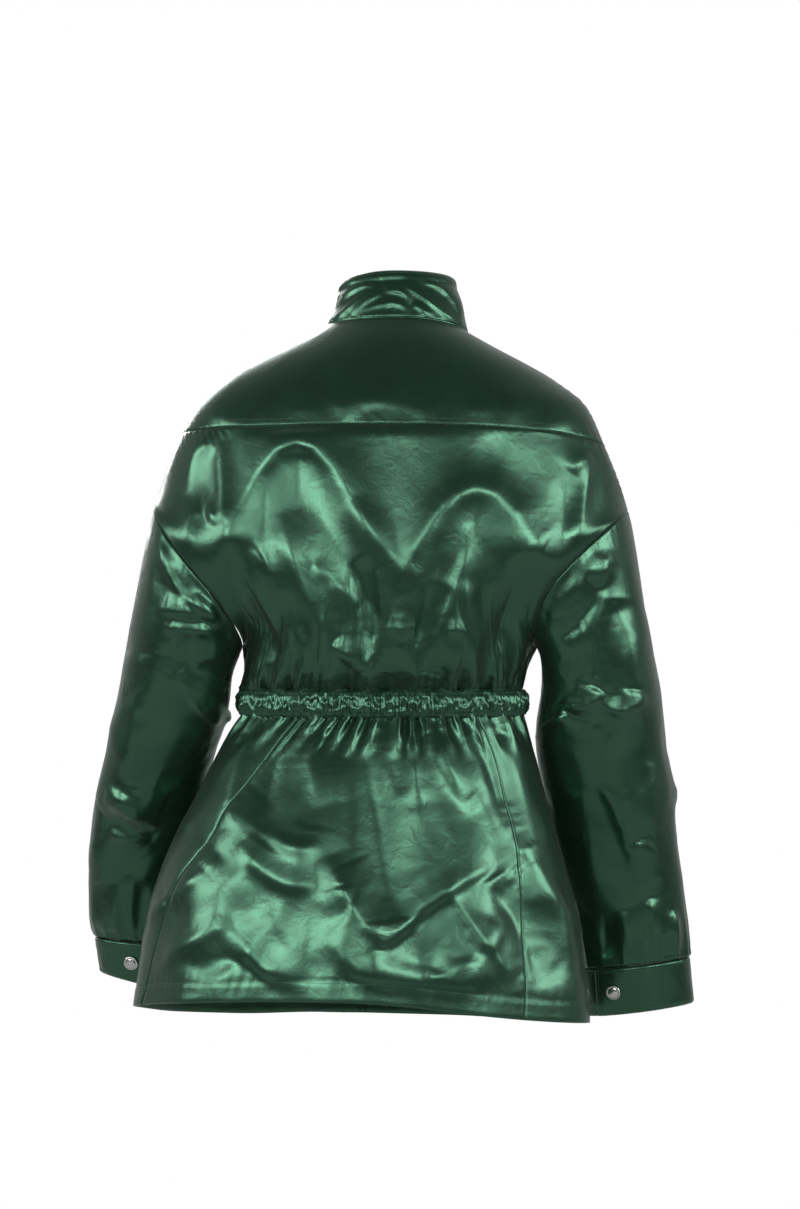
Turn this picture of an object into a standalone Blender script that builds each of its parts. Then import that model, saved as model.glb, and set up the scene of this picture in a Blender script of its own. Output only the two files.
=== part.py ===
"""Satin jacket: stand collar, back yoke, dropped shoulders, ruched elastic waist and flared skirt.

Every piece that a maker would cut is one closed wall of cloth, worked out from rings and sections.
The front faces -Y and the wearer's left is +X. The origin is the middle of the neck opening, level with
the collar seam at the centre back. Sizes are in millimetres until a mesh is made, which is in metres.
"""
import math

import bpy
import numpy as np

MM = 0.001

# Driving dimensions
CLOTH = 1.5
DOUBLE_CLOTH = 2.4
SEAM_GAP = 0.3
HEM_DEPTH = 21.0
WAIST_TOP_Z = -366.0
WAIST_BOTTOM_Z = -394.0
ARMHOLE_DEPTH = {1: 78.0, -1: 72.0}
PLACKET_WIDTH = 30.0
PLACKET_LIFT = 0.7
SNAP_RADIUS = 7.5
CUFF_OVERLAP_DEG = 38.0
CASING_GATHERS = 92
BACK_GATHERS = 12
FRONT_GATHERS = 9
CASING_BULGE = 5.0
CASING_GATHER_DEPTH = 1.5

# Where the rows of the bodice fall: neck, yoke seam, armhole top, underarm and waist
V_NECK, V_YOKE, V_TOP, V_UNDER, V_WAIST = 0.0, 1.0, 1.5, 3.0, 3.6
ARMHOLE_STEPS = 10


def rows(names, *lines):
    """A table with named columns, kept as a dict from each name to the values down its column."""
    return dict(zip(names.split(), np.array(lines, float).T))


SHOULDER = rows(
    "v left_x left_z right_x right_z y",
    (0.00, 67, -5, -76, -14, -4),
    (0.20, 95, -19, -106, -29, 0),
    (0.40, 130, -36, -138, -45, 4),
    (0.60, 161, -54, -166, -62, 8),
    (0.80, 188, -78, -194, -86, 12),
    (1.00, 208, -112, -213, -128, 14),
    (1.25, 223, -146, -226, -159, 10),
    (1.50, 235, -178, -236, -188, 0),
)
SIDE_SEAM = rows(
    "v left_x left_z right_x right_z y",
    (3.00, 150, -325, -146, -325, 0),
    (3.25, 148, -343, -137, -343, -1),
    (3.60, 150, -366, -130, -366, -3),
)
BODICE_CENTRE = rows(
    "v x back_y back_z front_y front_z turn z_bend",
    (0.000, -4, 55, 0, -60, -52, 90, 1.0),
    (0.200, -4, 74, -20, -78, -70, 90, 1.1),
    (0.400, -3, 89, -41, -92, -88, 90, 1.3),
    (0.600, -2, 101, -64, -104, -106, 90, 1.4),
    (0.800, -1, 109, -86, -113, -126, 90, 1.2),
    (1.000, 0, 115, -107, -121, -146, 88, 1.0),
    (1.250, 1, 121, -136, -127, -168, 84, 1.0),
    (1.500, 2, 126, -166, -132, -190, 78, 1.0),
    (1.875, 3, 130, -205, -135, -222, 68, 1.0),
    (2.250, 5, 133, -243, -135, -253, 66, 1.0),
    (2.625, 7, 134, -281, -133, -285, 72, 1.0),
    (3.000, 8, 132, -317, -129, -317, 84, 1.0),
    (3.250, 9, 125, -341, -122, -341, 88, 1.0),
    (3.430, 10, 111, -355, -113, -356, 90, 1.0),
    (3.600, 10, 94, -366, -103, -366, 90, 1.0),
)
COLLAR = rows(
    "h left_x left_z right_x right_z side_y back_y back_z front_y front_z",
    (0.0, 67.5, -4, -76.5, -13, -4, 55.5, 1, -60.5, -51),
    (0.4, 59, 14, -71, 11, -6, 50, 20, -64, -26),
    (0.7, 56, 25, -67, 28, -8, 46, 35, -63, -8),
    (1.0, 53, 36, -62, 44, -9, 41, 49, -60, 9),
)
SKIRT = rows(
    "s left_x right_x back_y front_y",
    (0.000, 150, -130, 92, -102),
    (0.055, 161, -136, 100, -107),
    (0.150, 177, -144, 110, -114),
    (0.250, 192, -152, 119, -120),
    (0.350, 208, -162, 127, -125),
    (0.450, 221, -170, 134, -128),
    (0.580, 235, -179, 141, -130),
    (0.720, 244, -188, 147, -131),
    (0.860, 250, -195, 152, -132),
    (1.000, 256, -199, 156, -133),
)
HEM_Z = rows(
    "angle z",
    (-90, -704),
    (-45, -700),
    (0, -684),
    (45, -670),
    (70, -666),
    (90, -666),
    (110, -675),
    (135, -687),
    (180, -700),
    (225, -706),
    (270, -704),
)
SKIRT_SEAMS = rows(
    "s left right",
    (0.00, 54, 133),
    (0.15, 47, 139),
    (0.30, 41, 140),
    (0.45, 36, 139.5),
    (0.60, 28, 138.5),
    (0.80, 20, 136.5),
    (1.00, 15, 134.5),
)
SLEEVE = {
    1: rows(
        "s out_x out_z in_x in_z y depth",
        (0.0, 235, -178, 150, -325, 0, 78),
        (0.7, 244, -216, 155, -338, -2, 74),
        (1.5, 254, -264, 159, -354, -6, 69),
        (2.5, 265, -318, 162, -375, -14, 64),
        (3.5, 275, -366, 168, -400, -28, 60),
        (4.5, 286, -414, 178, -430, -46, 55),
        (5.5, 298, -462, 187, -470, -68, 50),
        (6.5, 308, -512, 196, -516, -90, 46),
        (7.5, 312, -563, 204, -565, -109, 42),
        (8.5, 310, -606, 207, -609, -122, 39),
        (9.0, 307, -625, 209, -633, -129, 37),
    ),
    -1: rows(
        "s out_x out_z in_x in_z y depth",
        (0.0, -236, -188, -146, -325, 0, 78),
        (0.7, -243, -227, -149, -339, -2, 74),
        (1.5, -251, -274, -149, -356, -6, 70),
        (2.5, -260, -326, -147, -378, -13, 66),
        (3.5, -268, -376, -145, -404, -22, 62),
        (4.5, -275, -425, -147, -438, -34, 59),
        (5.5, -284, -478, -155, -484, -49, 55),
        (6.5, -291, -530, -166, -536, -62, 51),
        (7.5, -298, -581, -179, -587, -73, 47),
        (8.5, -303, -624, -190, -635, -81, 43),
        (9.0, -304, -641, -193, -654, -84, 41),
    ),
}
CUFF = {
    1: rows(
        "h out_x out_z in_x in_z y depth",
        (0.0, 307, -625.5, 209, -633.5, -129, 37),
        (1.0, 303, -662, 209, -684, -142, 36),
    ),
    -1: rows(
        "h out_x out_z in_x in_z y depth",
        (0.0, -304, -641.5, -193, -654.5, -84, 41),
        (1.0, -309, -689, -197, -703, -95, 40),
    ),
}
CUFF_START_DEG = {1: 62.0, -1: 100.0}

# How far each armhole seam leaves its plane, down and out where above 0, against the angle round it
ARMHOLE_BOW = rows(
    "angle left right",
    (0, 0, 0),
    (36, 7, -5),
    (54, 8, -10),
    (72, 5, -16),
    (90, 1, -21),
    (108, -3, -24),
    (126, -5, -22),
    (144, -6, -15),
    (162, -4, -7),
    (180, 0, 0),
)

# Folds, as seen from behind: a curve through three places (x, z), the half width and the height,
# which is below 0 for a trough
BODICE_BACK_FOLDS = rows(
    "x1 z1 x2 z2 x3 z3 width height",
    (89, -132, 45, -171, 16, -246, 13, 7),
    (89, -132, 113, -152, 126, -195, 12, 5),
    (155, -223, 126, -278, 91, -344, 11, -9),
    (168, -200, 146, -262, 116, -318, 10, 5),
    (-18, -236, -47, -201, -81, -178, 12, 6),
    (-81, -178, -110, -210, -144, -233, 11, 6),
    (-89, -118, -97, -162, -134, -225, 13, -7),
    (26, -239, 20, -284, 4, -350, 9, -7),
    (108, -275, 88, -306, 58, -352, 9, -7),
    (-56, -268, -41, -313, -27, -350, 9, -7),
    (-106, -268, -94, -301, -86, -350, 9, -7),
    (60, -262, 48, -300, 40, -345, 10, 5),
    (-74, -262, -66, -300, -58, -345, 10, 5),
    (12, -301, -10, -307, -34, -304, 8, 5),
)
BODICE_FRONT_FOLDS = rows(
    "x1 z1 x2 z2 x3 z3 width height",
    (185, -160, 150, -210, 105, -262, 12, 6),
    (-187, -165, -152, -214, -108, -258, 12, 6),
    (160, -238, 128, -285, 100, -348, 11, -8),
    (-158, -236, -124, -282, -98, -348, 11, -8),
    (70, -240, 62, -292, 50, -348, 10, -6),
    (-66, -232, -60, -288, -46, -348, 10, -6),
    (96, -296, 84, -318, 78, -348, 9, 5),
    (-90, -292, -80, -316, -74, -348, 9, 5),
)
SKIRT_BACK_FOLDS = rows(
    "x1 z1 x2 z2 x3 z3 width height",
    (19, -403, 15, -501, 4, -590, 16, -10),
    (-47, -403, -68, -472, -100, -548, 14, -11),
    (40, -532, 24, -566, 6, -612, 13, 5),
    (55, -557, 26, -618, -37, -647, 12, 7),
    (-37, -647, -71, -645, -105, -627, 11, 5),
    (204, -580, 160, -554, 126, -513, 12, 7),
    (181, -540, 152, -499, 128, -470, 10, 5),
    (-42, -405, -61, -438, -82, -466, 10, 6),
    (-125, -541, -144, -567, -165, -569, 11, 6),
    (65, -403, 68, -443, 76, -500, 12, -7),
    (89, -403, 104, -453, 128, -500, 11, -7),
    (-105, -403, -122, -460, -138, -520, 12, -6),
)
SKIRT_FRONT_FOLDS = rows(
    "x1 z1 x2 z2 x3 z3 width height",
    (60, -403, 72, -480, 92, -585, 14, -10),
    (-42, -403, -58, -482, -72, -580, 14, -10),
    (104, -403, 128, -470, 150, -560, 13, -8),
    (-88, -403, -104, -468, -120, -548, 12, -8),
    (82, -560, 112, -622, 164, -640, 12, 6),
    (-60, -570, -88, -626, -132, -636, 12, 6),
)
SLEEVE_BACK_FOLDS = {
    1: rows(
        "x1 z1 x2 z2 x3 z3 width height",
        (228, -214, 236, -262, 239, -330, 9, 5),
        (220, -276, 196, -282, 172, -290, 9, 6),
        (216, -305, 190, -310, 162, -312, 9, 6),
        (214, -322, 190, -345, 160, -336, 9, -6),
        (214, -350, 190, -372, 166, -358, 10, 6),
        (296, -488, 264, -478, 233, -489, 12, 7),
        (295, -505, 262, -508, 240, -520, 11, -6),
        (297, -565, 292, -590, 286, -612, 9, -5),
    ),
    -1: rows(
        "x1 z1 x2 z2 x3 z3 width height",
        (-152, -292, -181, -267, -210, -238, 10, 7),
        (-162, -305, -195, -276, -211, -240, 9, -6),
        (-230, -278, -222, -333, -195, -401, 12, -8),
        (-162, -395, -184, -408, -206, -368, 10, 7),
        (-195, -408, -220, -418, -238, -368, 10, 7),
        (-203, -436, -236, -470, -258, -560, 11, 6),
        (-258, -560, -261, -600, -263, -634, 9, -7),
        (-243, -520, -252, -526, -262, -524, 9, 5),
    ),
}
SLEEVE_FRONT_FOLDS = {
    1: rows(
        "x1 z1 x2 z2 x3 z3 width height",
        (226, -220, 238, -280, 244, -350, 11, 6),
        (200, -300, 178, -318, 160, -334, 10, 6),
        (214, -340, 190, -366, 168, -372, 10, -6),
        (292, -470, 256, -488, 214, -484, 12, -7),
        (290, -500, 258, -512, 216, -506, 11, 6),
        (240, -540, 236, -580, 232, -615, 10, 5),
    ),
    -1: rows(
        "x1 z1 x2 z2 x3 z3 width height",
        (-228, -230, -240, -290, -246, -360, 11, 6),
        (-204, -305, -176, -324, -156, -342, 10, 6),
        (-212, -352, -184, -376, -160, -384, 10, -6),
        (-268, -470, -230, -490, -180, -486, 12, -7),
        (-272, -506, -232, -520, -184, -512, 11, 6),
        (-226, -560, -222, -600, -220, -634, 10, 5),
    ),
}
SNAPS_UP_THE_FRONT = 8


def smooth(table, name, at, key="v"):
    """Cubic curve through one column of a table, read at the given keys."""
    knots, values = table[key], table[name]
    slopes = np.gradient(values, knots)
    i = np.clip(np.searchsorted(knots, at, side="right") - 1, 0, len(knots) - 2)
    gap = knots[i + 1] - knots[i]
    t = (at - knots[i]) / gap
    rise = values[i + 1] - values[i]
    first, last = slopes[i] * gap - rise, rise - slopes[i + 1] * gap
    return values[i] + rise * t + t * (1 - t) * (first * (1 - t) + last * t)


def ease(low, high, at):
    """Rises smoothly from 0 at low to 1 at high."""
    t = np.clip((at - low) / (high - low), 0, 1)
    return t * t * (3 - 2 * t)


def fold_height(x, z, folds, steps=10):
    """Height at (x, z) of all the folds of a table, each faded at both ends."""
    total = np.zeros_like(x)
    for i in range(len(folds["x1"])):
        fold = {name: column[i] for name, column in folds.items()}
        bend_x = 2 * fold["x2"] - (fold["x1"] + fold["x3"]) / 2
        bend_z = 2 * fold["z2"] - (fold["z1"] + fold["z3"]) / 2
        t = np.linspace(0, 1, steps)
        line_x = (1 - t) ** 2 * fold["x1"] + 2 * t * (1 - t) * bend_x + t * t * fold["x3"]
        line_z = (1 - t) ** 2 * fold["z1"] + 2 * t * (1 - t) * bend_z + t * t * fold["z3"]
        nearest = np.full_like(x, np.inf)
        place = np.zeros_like(x)
        for k in range(steps - 1):
            run_x, run_z = line_x[k + 1] - line_x[k], line_z[k + 1] - line_z[k]
            share = ((x - line_x[k]) * run_x + (z - line_z[k]) * run_z) / (run_x**2 + run_z**2)
            share = np.clip(share, 0, 1)
            away = np.hypot(x - line_x[k] - share * run_x, z - line_z[k] - share * run_z)
            place = np.where(away < nearest, (k + share) / (steps - 1), place)
            nearest = np.minimum(away, nearest)
        fade = np.sqrt(np.clip(4 * place * (1 - place), 0, 1))
        total += fold["height"] * fade * np.exp(-((nearest / fold["width"]) ** 2))
    return total


def gather_wave(place, count, uneven=0.9):
    """Soft waves along an edge, count of them for each unit of place, unevenly spaced."""
    phase = 2 * math.pi * count * place
    drift = uneven * np.sin(phase * 0.23 + 0.8) + 0.6 * uneven * np.sin(phase * 0.411 + 2.1)
    size = 0.75 + 0.25 * np.sin(phase * 0.31 + 1.7)
    return size * np.sin(phase + drift)


def grid_normals(points, closed=False):
    """Unit normals of a grid of points (rows, columns, xyz), to one side of it."""
    down = np.gradient(points, axis=0)
    if closed:
        across = (np.roll(points, -1, axis=1) - np.roll(points, 1, axis=1)) / 2
    else:
        across = np.gradient(points, axis=1)
    normal = np.cross(across, down)
    return normal / np.linalg.norm(normal, axis=2, keepdims=True)


def armhole_bow(t, side):
    """Steps in x and z that bend the flat armhole ring into its seam line. t is 0 at its top."""
    name = "left" if side > 0 else "right"
    share = np.degrees(np.where(t > math.pi, 2 * math.pi - t, t))
    size = smooth(ARMHOLE_BOW, name, share, "angle") * np.where(t > math.pi, 0.5, 1.0)
    fall_x = abs(SHOULDER[name + "_x"][-1] - SIDE_SEAM[name + "_x"][0])
    fall_z = SHOULDER[name + "_z"][-1] - SIDE_SEAM[name + "_z"][0]
    length = math.hypot(fall_x, fall_z)
    return side * size * fall_z / length, -size * fall_x / length


def bodice_edge(v, side, half):
    """The bodice's side: the shoulder seam, then half of the armhole, then the side seam."""
    name = "left" if side > 0 else "right"
    top_x, top_z = SHOULDER[name + "_x"][-1], SHOULDER[name + "_z"][-1]
    under_x, under_z = SIDE_SEAM[name + "_x"][0], SIDE_SEAM[name + "_z"][0]
    t = math.pi * (v - V_TOP) / (V_UNDER - V_TOP)
    t = np.clip(t, 0, math.pi)
    share = (1 - np.cos(t)) / 2
    bow_x, bow_z = armhole_bow(t if half > 0 else 2 * math.pi - t, side)
    arm = (
        top_x + (under_x - top_x) * share + bow_x,
        half * ARMHOLE_DEPTH[half] * np.sin(t),
        top_z + (under_z - top_z) * share + bow_z,
    )
    above = [smooth(SHOULDER, c, v) for c in (name + "_x", "y", name + "_z")]
    below = [smooth(SIDE_SEAM, c, v) for c in (name + "_x", "y", name + "_z")]
    return [np.where(v < V_TOP, a, np.where(v > V_UNDER, b, m)) for a, m, b in zip(above, arm, below)]


def bodice(u, v, half):
    """The bodice's smooth form. u runs from -1, the wearer's right, to 1, the left. half is 1 for the back."""
    name = "back" if half > 0 else "front"
    left, right = bodice_edge(v, 1, half), bodice_edge(v, -1, half)
    edge_x, edge_y, edge_z = (np.where(u >= 0, a, b) for a, b in zip(left, right))
    turn = np.radians(smooth(BODICE_CENTRE, "turn", v))
    angle = np.abs(u) * turn
    across = np.sin(angle) / np.sin(turn)
    along = (np.cos(angle) - np.cos(turn)) / (1 - np.cos(turn))
    centre_x = smooth(BODICE_CENTRE, "x", v)
    x = centre_x + (edge_x - centre_x) * across
    y = edge_y + (smooth(BODICE_CENTRE, name + "_y", v) - edge_y) * along
    bend = smooth(BODICE_CENTRE, "z_bend", v)
    z = edge_z + (smooth(BODICE_CENTRE, name + "_z", v) - edge_z) * np.clip(along, 0, 1) ** bend
    return np.stack([x, y, z], axis=-1)


def bodice_cloth(u, v, half):
    """The bodice with its folds and the gathers that the elastic makes."""
    base = bodice(u, v, half)
    normal = half * grid_normals(base)
    x, z = base[..., 0], base[..., 2]
    inside = (1 - ease(0.86, 1.0, np.abs(u))) * ease(V_YOKE, V_YOKE + 0.12, v) * (1 - ease(3.45, V_WAIST, v))
    if half < 0:
        inside = inside * ease(0.09, 0.2, np.abs(u))
    folds = fold_height(x, z, BODICE_BACK_FOLDS if half > 0 else BODICE_FRONT_FOLDS)
    count = BACK_GATHERS if half > 0 else FRONT_GATHERS
    gathers = 3.6 * gather_wave((u + 1) / 2, count) * ease(2.85, V_WAIST, v)
    gathers = gathers * (1 - ease(0.9, 1.0, np.abs(u)))
    if half < 0:
        gathers = gathers * ease(0.12, 0.22, np.abs(u))
    outward = normal * [1, 1, 0.0]
    outward = outward / np.maximum(np.linalg.norm(outward, axis=2, keepdims=True), 1e-6)
    return base + normal * (folds * inside)[..., None] + outward * gathers[..., None]


def skirt(angle, s):
    """The skirt's smooth form. angle is 0 at the wearer's left, 90 at the centre back, 270 in front."""
    a = np.radians(angle)
    left, right = smooth(SKIRT, "left_x", s, "s"), smooth(SKIRT, "right_x", s, "s")
    x = (left + right) / 2 + (left - right) / 2 * np.cos(a)
    reach = np.where(np.sin(a) >= 0, smooth(SKIRT, "back_y", s, "s"), -smooth(SKIRT, "front_y", s, "s"))
    y = reach * np.sin(a)
    hem = smooth(HEM_Z, "z", (angle + 90) % 360 - 90, "angle")
    z = WAIST_BOTTOM_Z + (hem - WAIST_BOTTOM_Z) * s
    return np.stack([x, y, z], axis=-1)


def skirt_cloth(angle, s, gather):
    """The skirt with its flare folds and its largest wrinkles. gather counts the gathers along its top."""
    base = skirt(angle, s)
    normal = -grid_normals(base)
    x, z = base[..., 0], base[..., 2]
    back = ease(-0.1, 0.35, np.sin(np.radians(angle)))
    front = ease(-0.1, 0.35, -np.sin(np.radians(angle))) * ease(4, 12, np.abs(angle - 270))
    front = front * ease(4, 12, np.abs(angle + 90))
    folds = fold_height(x, z, SKIRT_BACK_FOLDS) * back + fold_height(x, z, SKIRT_FRONT_FOLDS) * front
    plain_front = ease(4, 14, np.abs(angle - 270)) * ease(4, 14, np.abs(angle + 90))
    gathers = 3.8 * gather_wave(gather, 1) * (1 - ease(0.0, 0.26, s)) * plain_front
    for name in ("left", "right"):
        gathers = gathers * ease(0, 5, np.abs(angle - smooth(SKIRT_SEAMS, name, s, "s")))
    flare = 5.0 * gather_wave(angle / 360 + 0.13, 9, 0.5) * ease(0.25, 1.0, s) * plain_front
    outward = normal * [1, 1, 0.0]
    outward = outward / np.linalg.norm(outward, axis=2, keepdims=True)
    return base + normal * (folds * ease(0.0, 0.06, s))[..., None] + outward * (gathers + flare)[..., None]


def ring_point(table, t, at, key):
    """A point on a slanted ring between an outer and an inner place. t is an angle, 0 at the outer one."""
    share = (1 - np.cos(t)) / 2
    out_x, in_x = smooth(table, "out_x", at, key), smooth(table, "in_x", at, key)
    out_z, in_z = smooth(table, "out_z", at, key), smooth(table, "in_z", at, key)
    depth = smooth(table, "depth", at, key)
    # Each sleeve's first ring is the armhole, which is a little shallower in front
    squash = 1 - (1 - ARMHOLE_DEPTH[-1] / ARMHOLE_DEPTH[1]) * (np.sin(t) < 0)
    y = smooth(table, "y", at, key) + depth * squash * np.sin(t)
    return np.stack([out_x + (in_x - out_x) * share, y, out_z + (in_z - out_z) * share], axis=-1)


def sleeve_cloth(t, s, side):
    """A sleeve with its folds, from the armhole at s = 0 to the cuff seam at s = 9."""
    base = ring_point(SLEEVE[side], t, s, "s")
    bow_x, bow_z = armhole_bow(t, side)
    fade = 1 - ease(0.0, 2.5, s)
    base = base + np.stack([bow_x * fade, 0 * t, bow_z * fade], axis=-1)
    normal = -side * grid_normals(base, closed=True)
    x, z = base[..., 0], base[..., 2]
    inside = ease(0.0, 0.5, s) * (1 - ease(8.6, 9.0, s))
    folds = fold_height(x, z, SLEEVE_BACK_FOLDS[side]) * ease(-0.05, 0.35, np.sin(t))
    folds = folds + fold_height(x, z, SLEEVE_FRONT_FOLDS[side]) * ease(-0.05, 0.35, -np.sin(t))
    return base + normal * (folds * inside)[..., None]


def collar_form(angle, h):
    """The collar's outer face. angle is 0 at the wearer's left, 90 at the back, 270 in front."""
    a = np.radians(angle)
    left, right = smooth(COLLAR, "left_x", h, "h"), smooth(COLLAR, "right_x", h, "h")
    side_z = np.where(np.cos(a) > 0, smooth(COLLAR, "left_z", h, "h"), smooth(COLLAR, "right_z", h, "h"))
    behind = np.sin(a) >= 0
    end_y = np.where(behind, smooth(COLLAR, "back_y", h, "h"), smooth(COLLAR, "front_y", h, "h"))
    end_z = np.where(behind, smooth(COLLAR, "back_z", h, "h"), smooth(COLLAR, "front_z", h, "h"))
    side_y = smooth(COLLAR, "side_y", h, "h")
    x = (left + right) / 2 + (left - right) / 2 * np.cos(a)
    y = side_y + (end_y - side_y) * np.abs(np.sin(a))
    z = side_z + (end_z - side_z) * np.abs(np.sin(a))
    return np.stack([x, y, z], axis=-1)


def draw_in(points, top=0.0, bottom=0.0, sides=0.0):
    """Moves a grid's edge rows and columns inwards, each along the grid, for the gap at a seam."""
    moved = points.copy()
    for amount, edge, inner in ((top, 0, 1), (bottom, -1, -2)):
        step = points[inner] - points[edge]
        moved[edge] = points[edge] + amount * step / np.linalg.norm(step, axis=-1, keepdims=True)
    for edge, inner in ((0, 1), (-1, -2)):
        step = moved[:, inner] - moved[:, edge]
        moved[:, edge] = moved[:, edge] + sides * step / np.linalg.norm(step, axis=-1, keepdims=True)
    return moved


def material(name, colour, roughness, metallic):
    made = bpy.data.materials.get(name) or bpy.data.materials.new(name)
    made.use_nodes = True
    shader = made.node_tree.nodes["Principled BSDF"]
    shader.inputs["Base Color"].default_value = (*colour, 1)
    shader.inputs["Roughness"].default_value = roughness
    shader.inputs["Metallic"].default_value = metallic
    return made


def add_object(name, points, faces, finish):
    mesh = bpy.data.meshes.new(name)
    mesh.from_pydata([tuple(p) for p in np.asarray(points) * MM], [], faces)
    mesh.validate()
    mesh.shade_smooth()
    mesh.set_sharp_from_angle(angle=math.radians(50))
    mesh.materials.append(finish)
    made = bpy.data.objects.new(name, mesh)
    bpy.context.scene.collection.objects.link(made)
    return made


def split_cell(points, a, b, c, d):
    """Two triangles for a cell, along its shorter diagonal, so that both faces of a wall fold alike."""
    if np.linalg.norm(points[a] - points[c]) < np.linalg.norm(points[b] - points[d]):
        return [(a, b, c), (a, c, d)]
    return [(a, b, d), (b, c, d)]


def add_wall(name, outer, inner, finish, outward, closed=False):
    """A closed wall between two grids with the same columns. outward is 1 or -1, the side of grid_normals."""
    outer_rows, columns = outer.shape[:2]
    inner_rows = inner.shape[0]
    start = outer_rows * columns
    last = columns if closed else columns - 1
    points = np.concatenate([outer.reshape(-1, 3), inner.reshape(-1, 3)])
    faces = []
    for c in range(last):
        n = (c + 1) % columns
        for r in range(outer_rows - 1):
            a, b = r * columns, (r + 1) * columns
            faces += split_cell(points, a + c, b + c, b + n, a + n)
        for r in range(inner_rows - 1):
            a, b = r * columns, (r + 1) * columns
            cell = split_cell(points, a + c, b + c, b + n, a + n) if inner_rows == outer_rows else []
            cell = cell or [(a + c, b + c, b + n, a + n)]
            faces += [tuple(start + p for p in reversed(face)) for face in cell]
        low, inner_low = (outer_rows - 1) * columns, start + (inner_rows - 1) * columns
        faces.append((c, n, start + n, start + c))
        faces.append((low + n, low + c, inner_low + c, inner_low + n))
    if not closed:
        for c, turned in ((0, False), (columns - 1, True)):
            if outer_rows == inner_rows:
                for r in range(outer_rows - 1):
                    a, b = r * columns + c, (r + 1) * columns + c
                    end = (a, start + a, start + b, b)
                    faces.append(end[::-1] if turned else end)
            else:
                end = [r * columns + c for r in range(outer_rows)]
                end = end + [start + r * columns + c for r in reversed(range(inner_rows))]
                faces.append(tuple(end if turned else end[::-1]))
    if outward > 0:
        faces = [face[::-1] for face in faces]
    return add_object(name, points, faces, finish)


def add_panel(name, outer, outward, thickness, finish, closed=False, normal=None):
    """A wall of even thickness under a grid. normal points out of it, and is found where it isn't given."""
    if normal is None:
        normal = outward * grid_normals(outer, closed)
    inner = outer - normal * np.asarray(thickness, float).reshape(-1, 1, 1)
    return add_wall(name, outer, inner, finish, outward, closed)


def bodice_rows(*stretches):
    """Row places down the bodice, from (start, end, steps) stretches."""
    found = [np.linspace(a, b, n + 1)[(0 if i == 0 else 1):] for i, (a, b, n) in enumerate(stretches)]
    return np.concatenate(found)


SHOULDER_ROWS = (V_NECK, V_YOKE, 5)
OVERARM_ROWS = (V_YOKE, V_TOP, 2)
ARMHOLE_ROWS = (V_TOP, V_UNDER, ARMHOLE_STEPS)
SIDE_ROWS = (V_UNDER, V_WAIST, 3)
BACK_COLUMNS = 41
FRONT_COLUMNS = 16
SKIRT_ROWS = np.array([0.0, 0.055, 0.13, 0.23, 0.33, 0.44, 0.56, 0.68, 0.8, 0.93, 1.0])
SLEEVE_ROWS = np.array([0.0, 0.35, 0.8, 1.3, 1.9, 2.5, 3.1, 3.8, 4.5, 5.2, 5.9, 6.6, 7.4, 8.2, 9.0])


def mate(first, second):
    """Where two walls meet at less than a right angle, both get the mean of their normals."""
    mean = first + second
    size = np.linalg.norm(mean, axis=-1, keepdims=True)
    mean = mean / np.maximum(size, 1e-6)
    meets = (first * second).sum(axis=-1, keepdims=True) > 0
    return np.where(meets, mean, first), np.where(meets, mean, second)


def flat_ring_normals(ring):
    """Normals of a flat ring of points that stay in its own plane."""
    plane = np.cross(ring[len(ring) // 2] - ring[0], [0, 1.0, 0])
    along = np.roll(ring, -1, axis=0) - np.roll(ring, 1, axis=0)
    normal = np.cross(plane, along)
    return normal / np.linalg.norm(normal, axis=-1, keepdims=True)


def even_out(cloth, v, rounds=2):
    """Rounds the corner that the armholes' tops would carry across a panel, but not at its edges."""
    inside = ease(0.0, 0.24, 1 - np.abs(np.linspace(-1, 1, cloth.shape[1])))[None, :, None]
    near = np.exp(-(((v - V_TOP) / 0.3) ** 2))[:, None, None] * inside
    for _ in range(rounds):
        cloth[1:-1] += (0.5 * near * (np.roll(cloth, 1, 0) + np.roll(cloth, -1, 0) - 2 * cloth))[1:-1]
    return cloth


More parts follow.
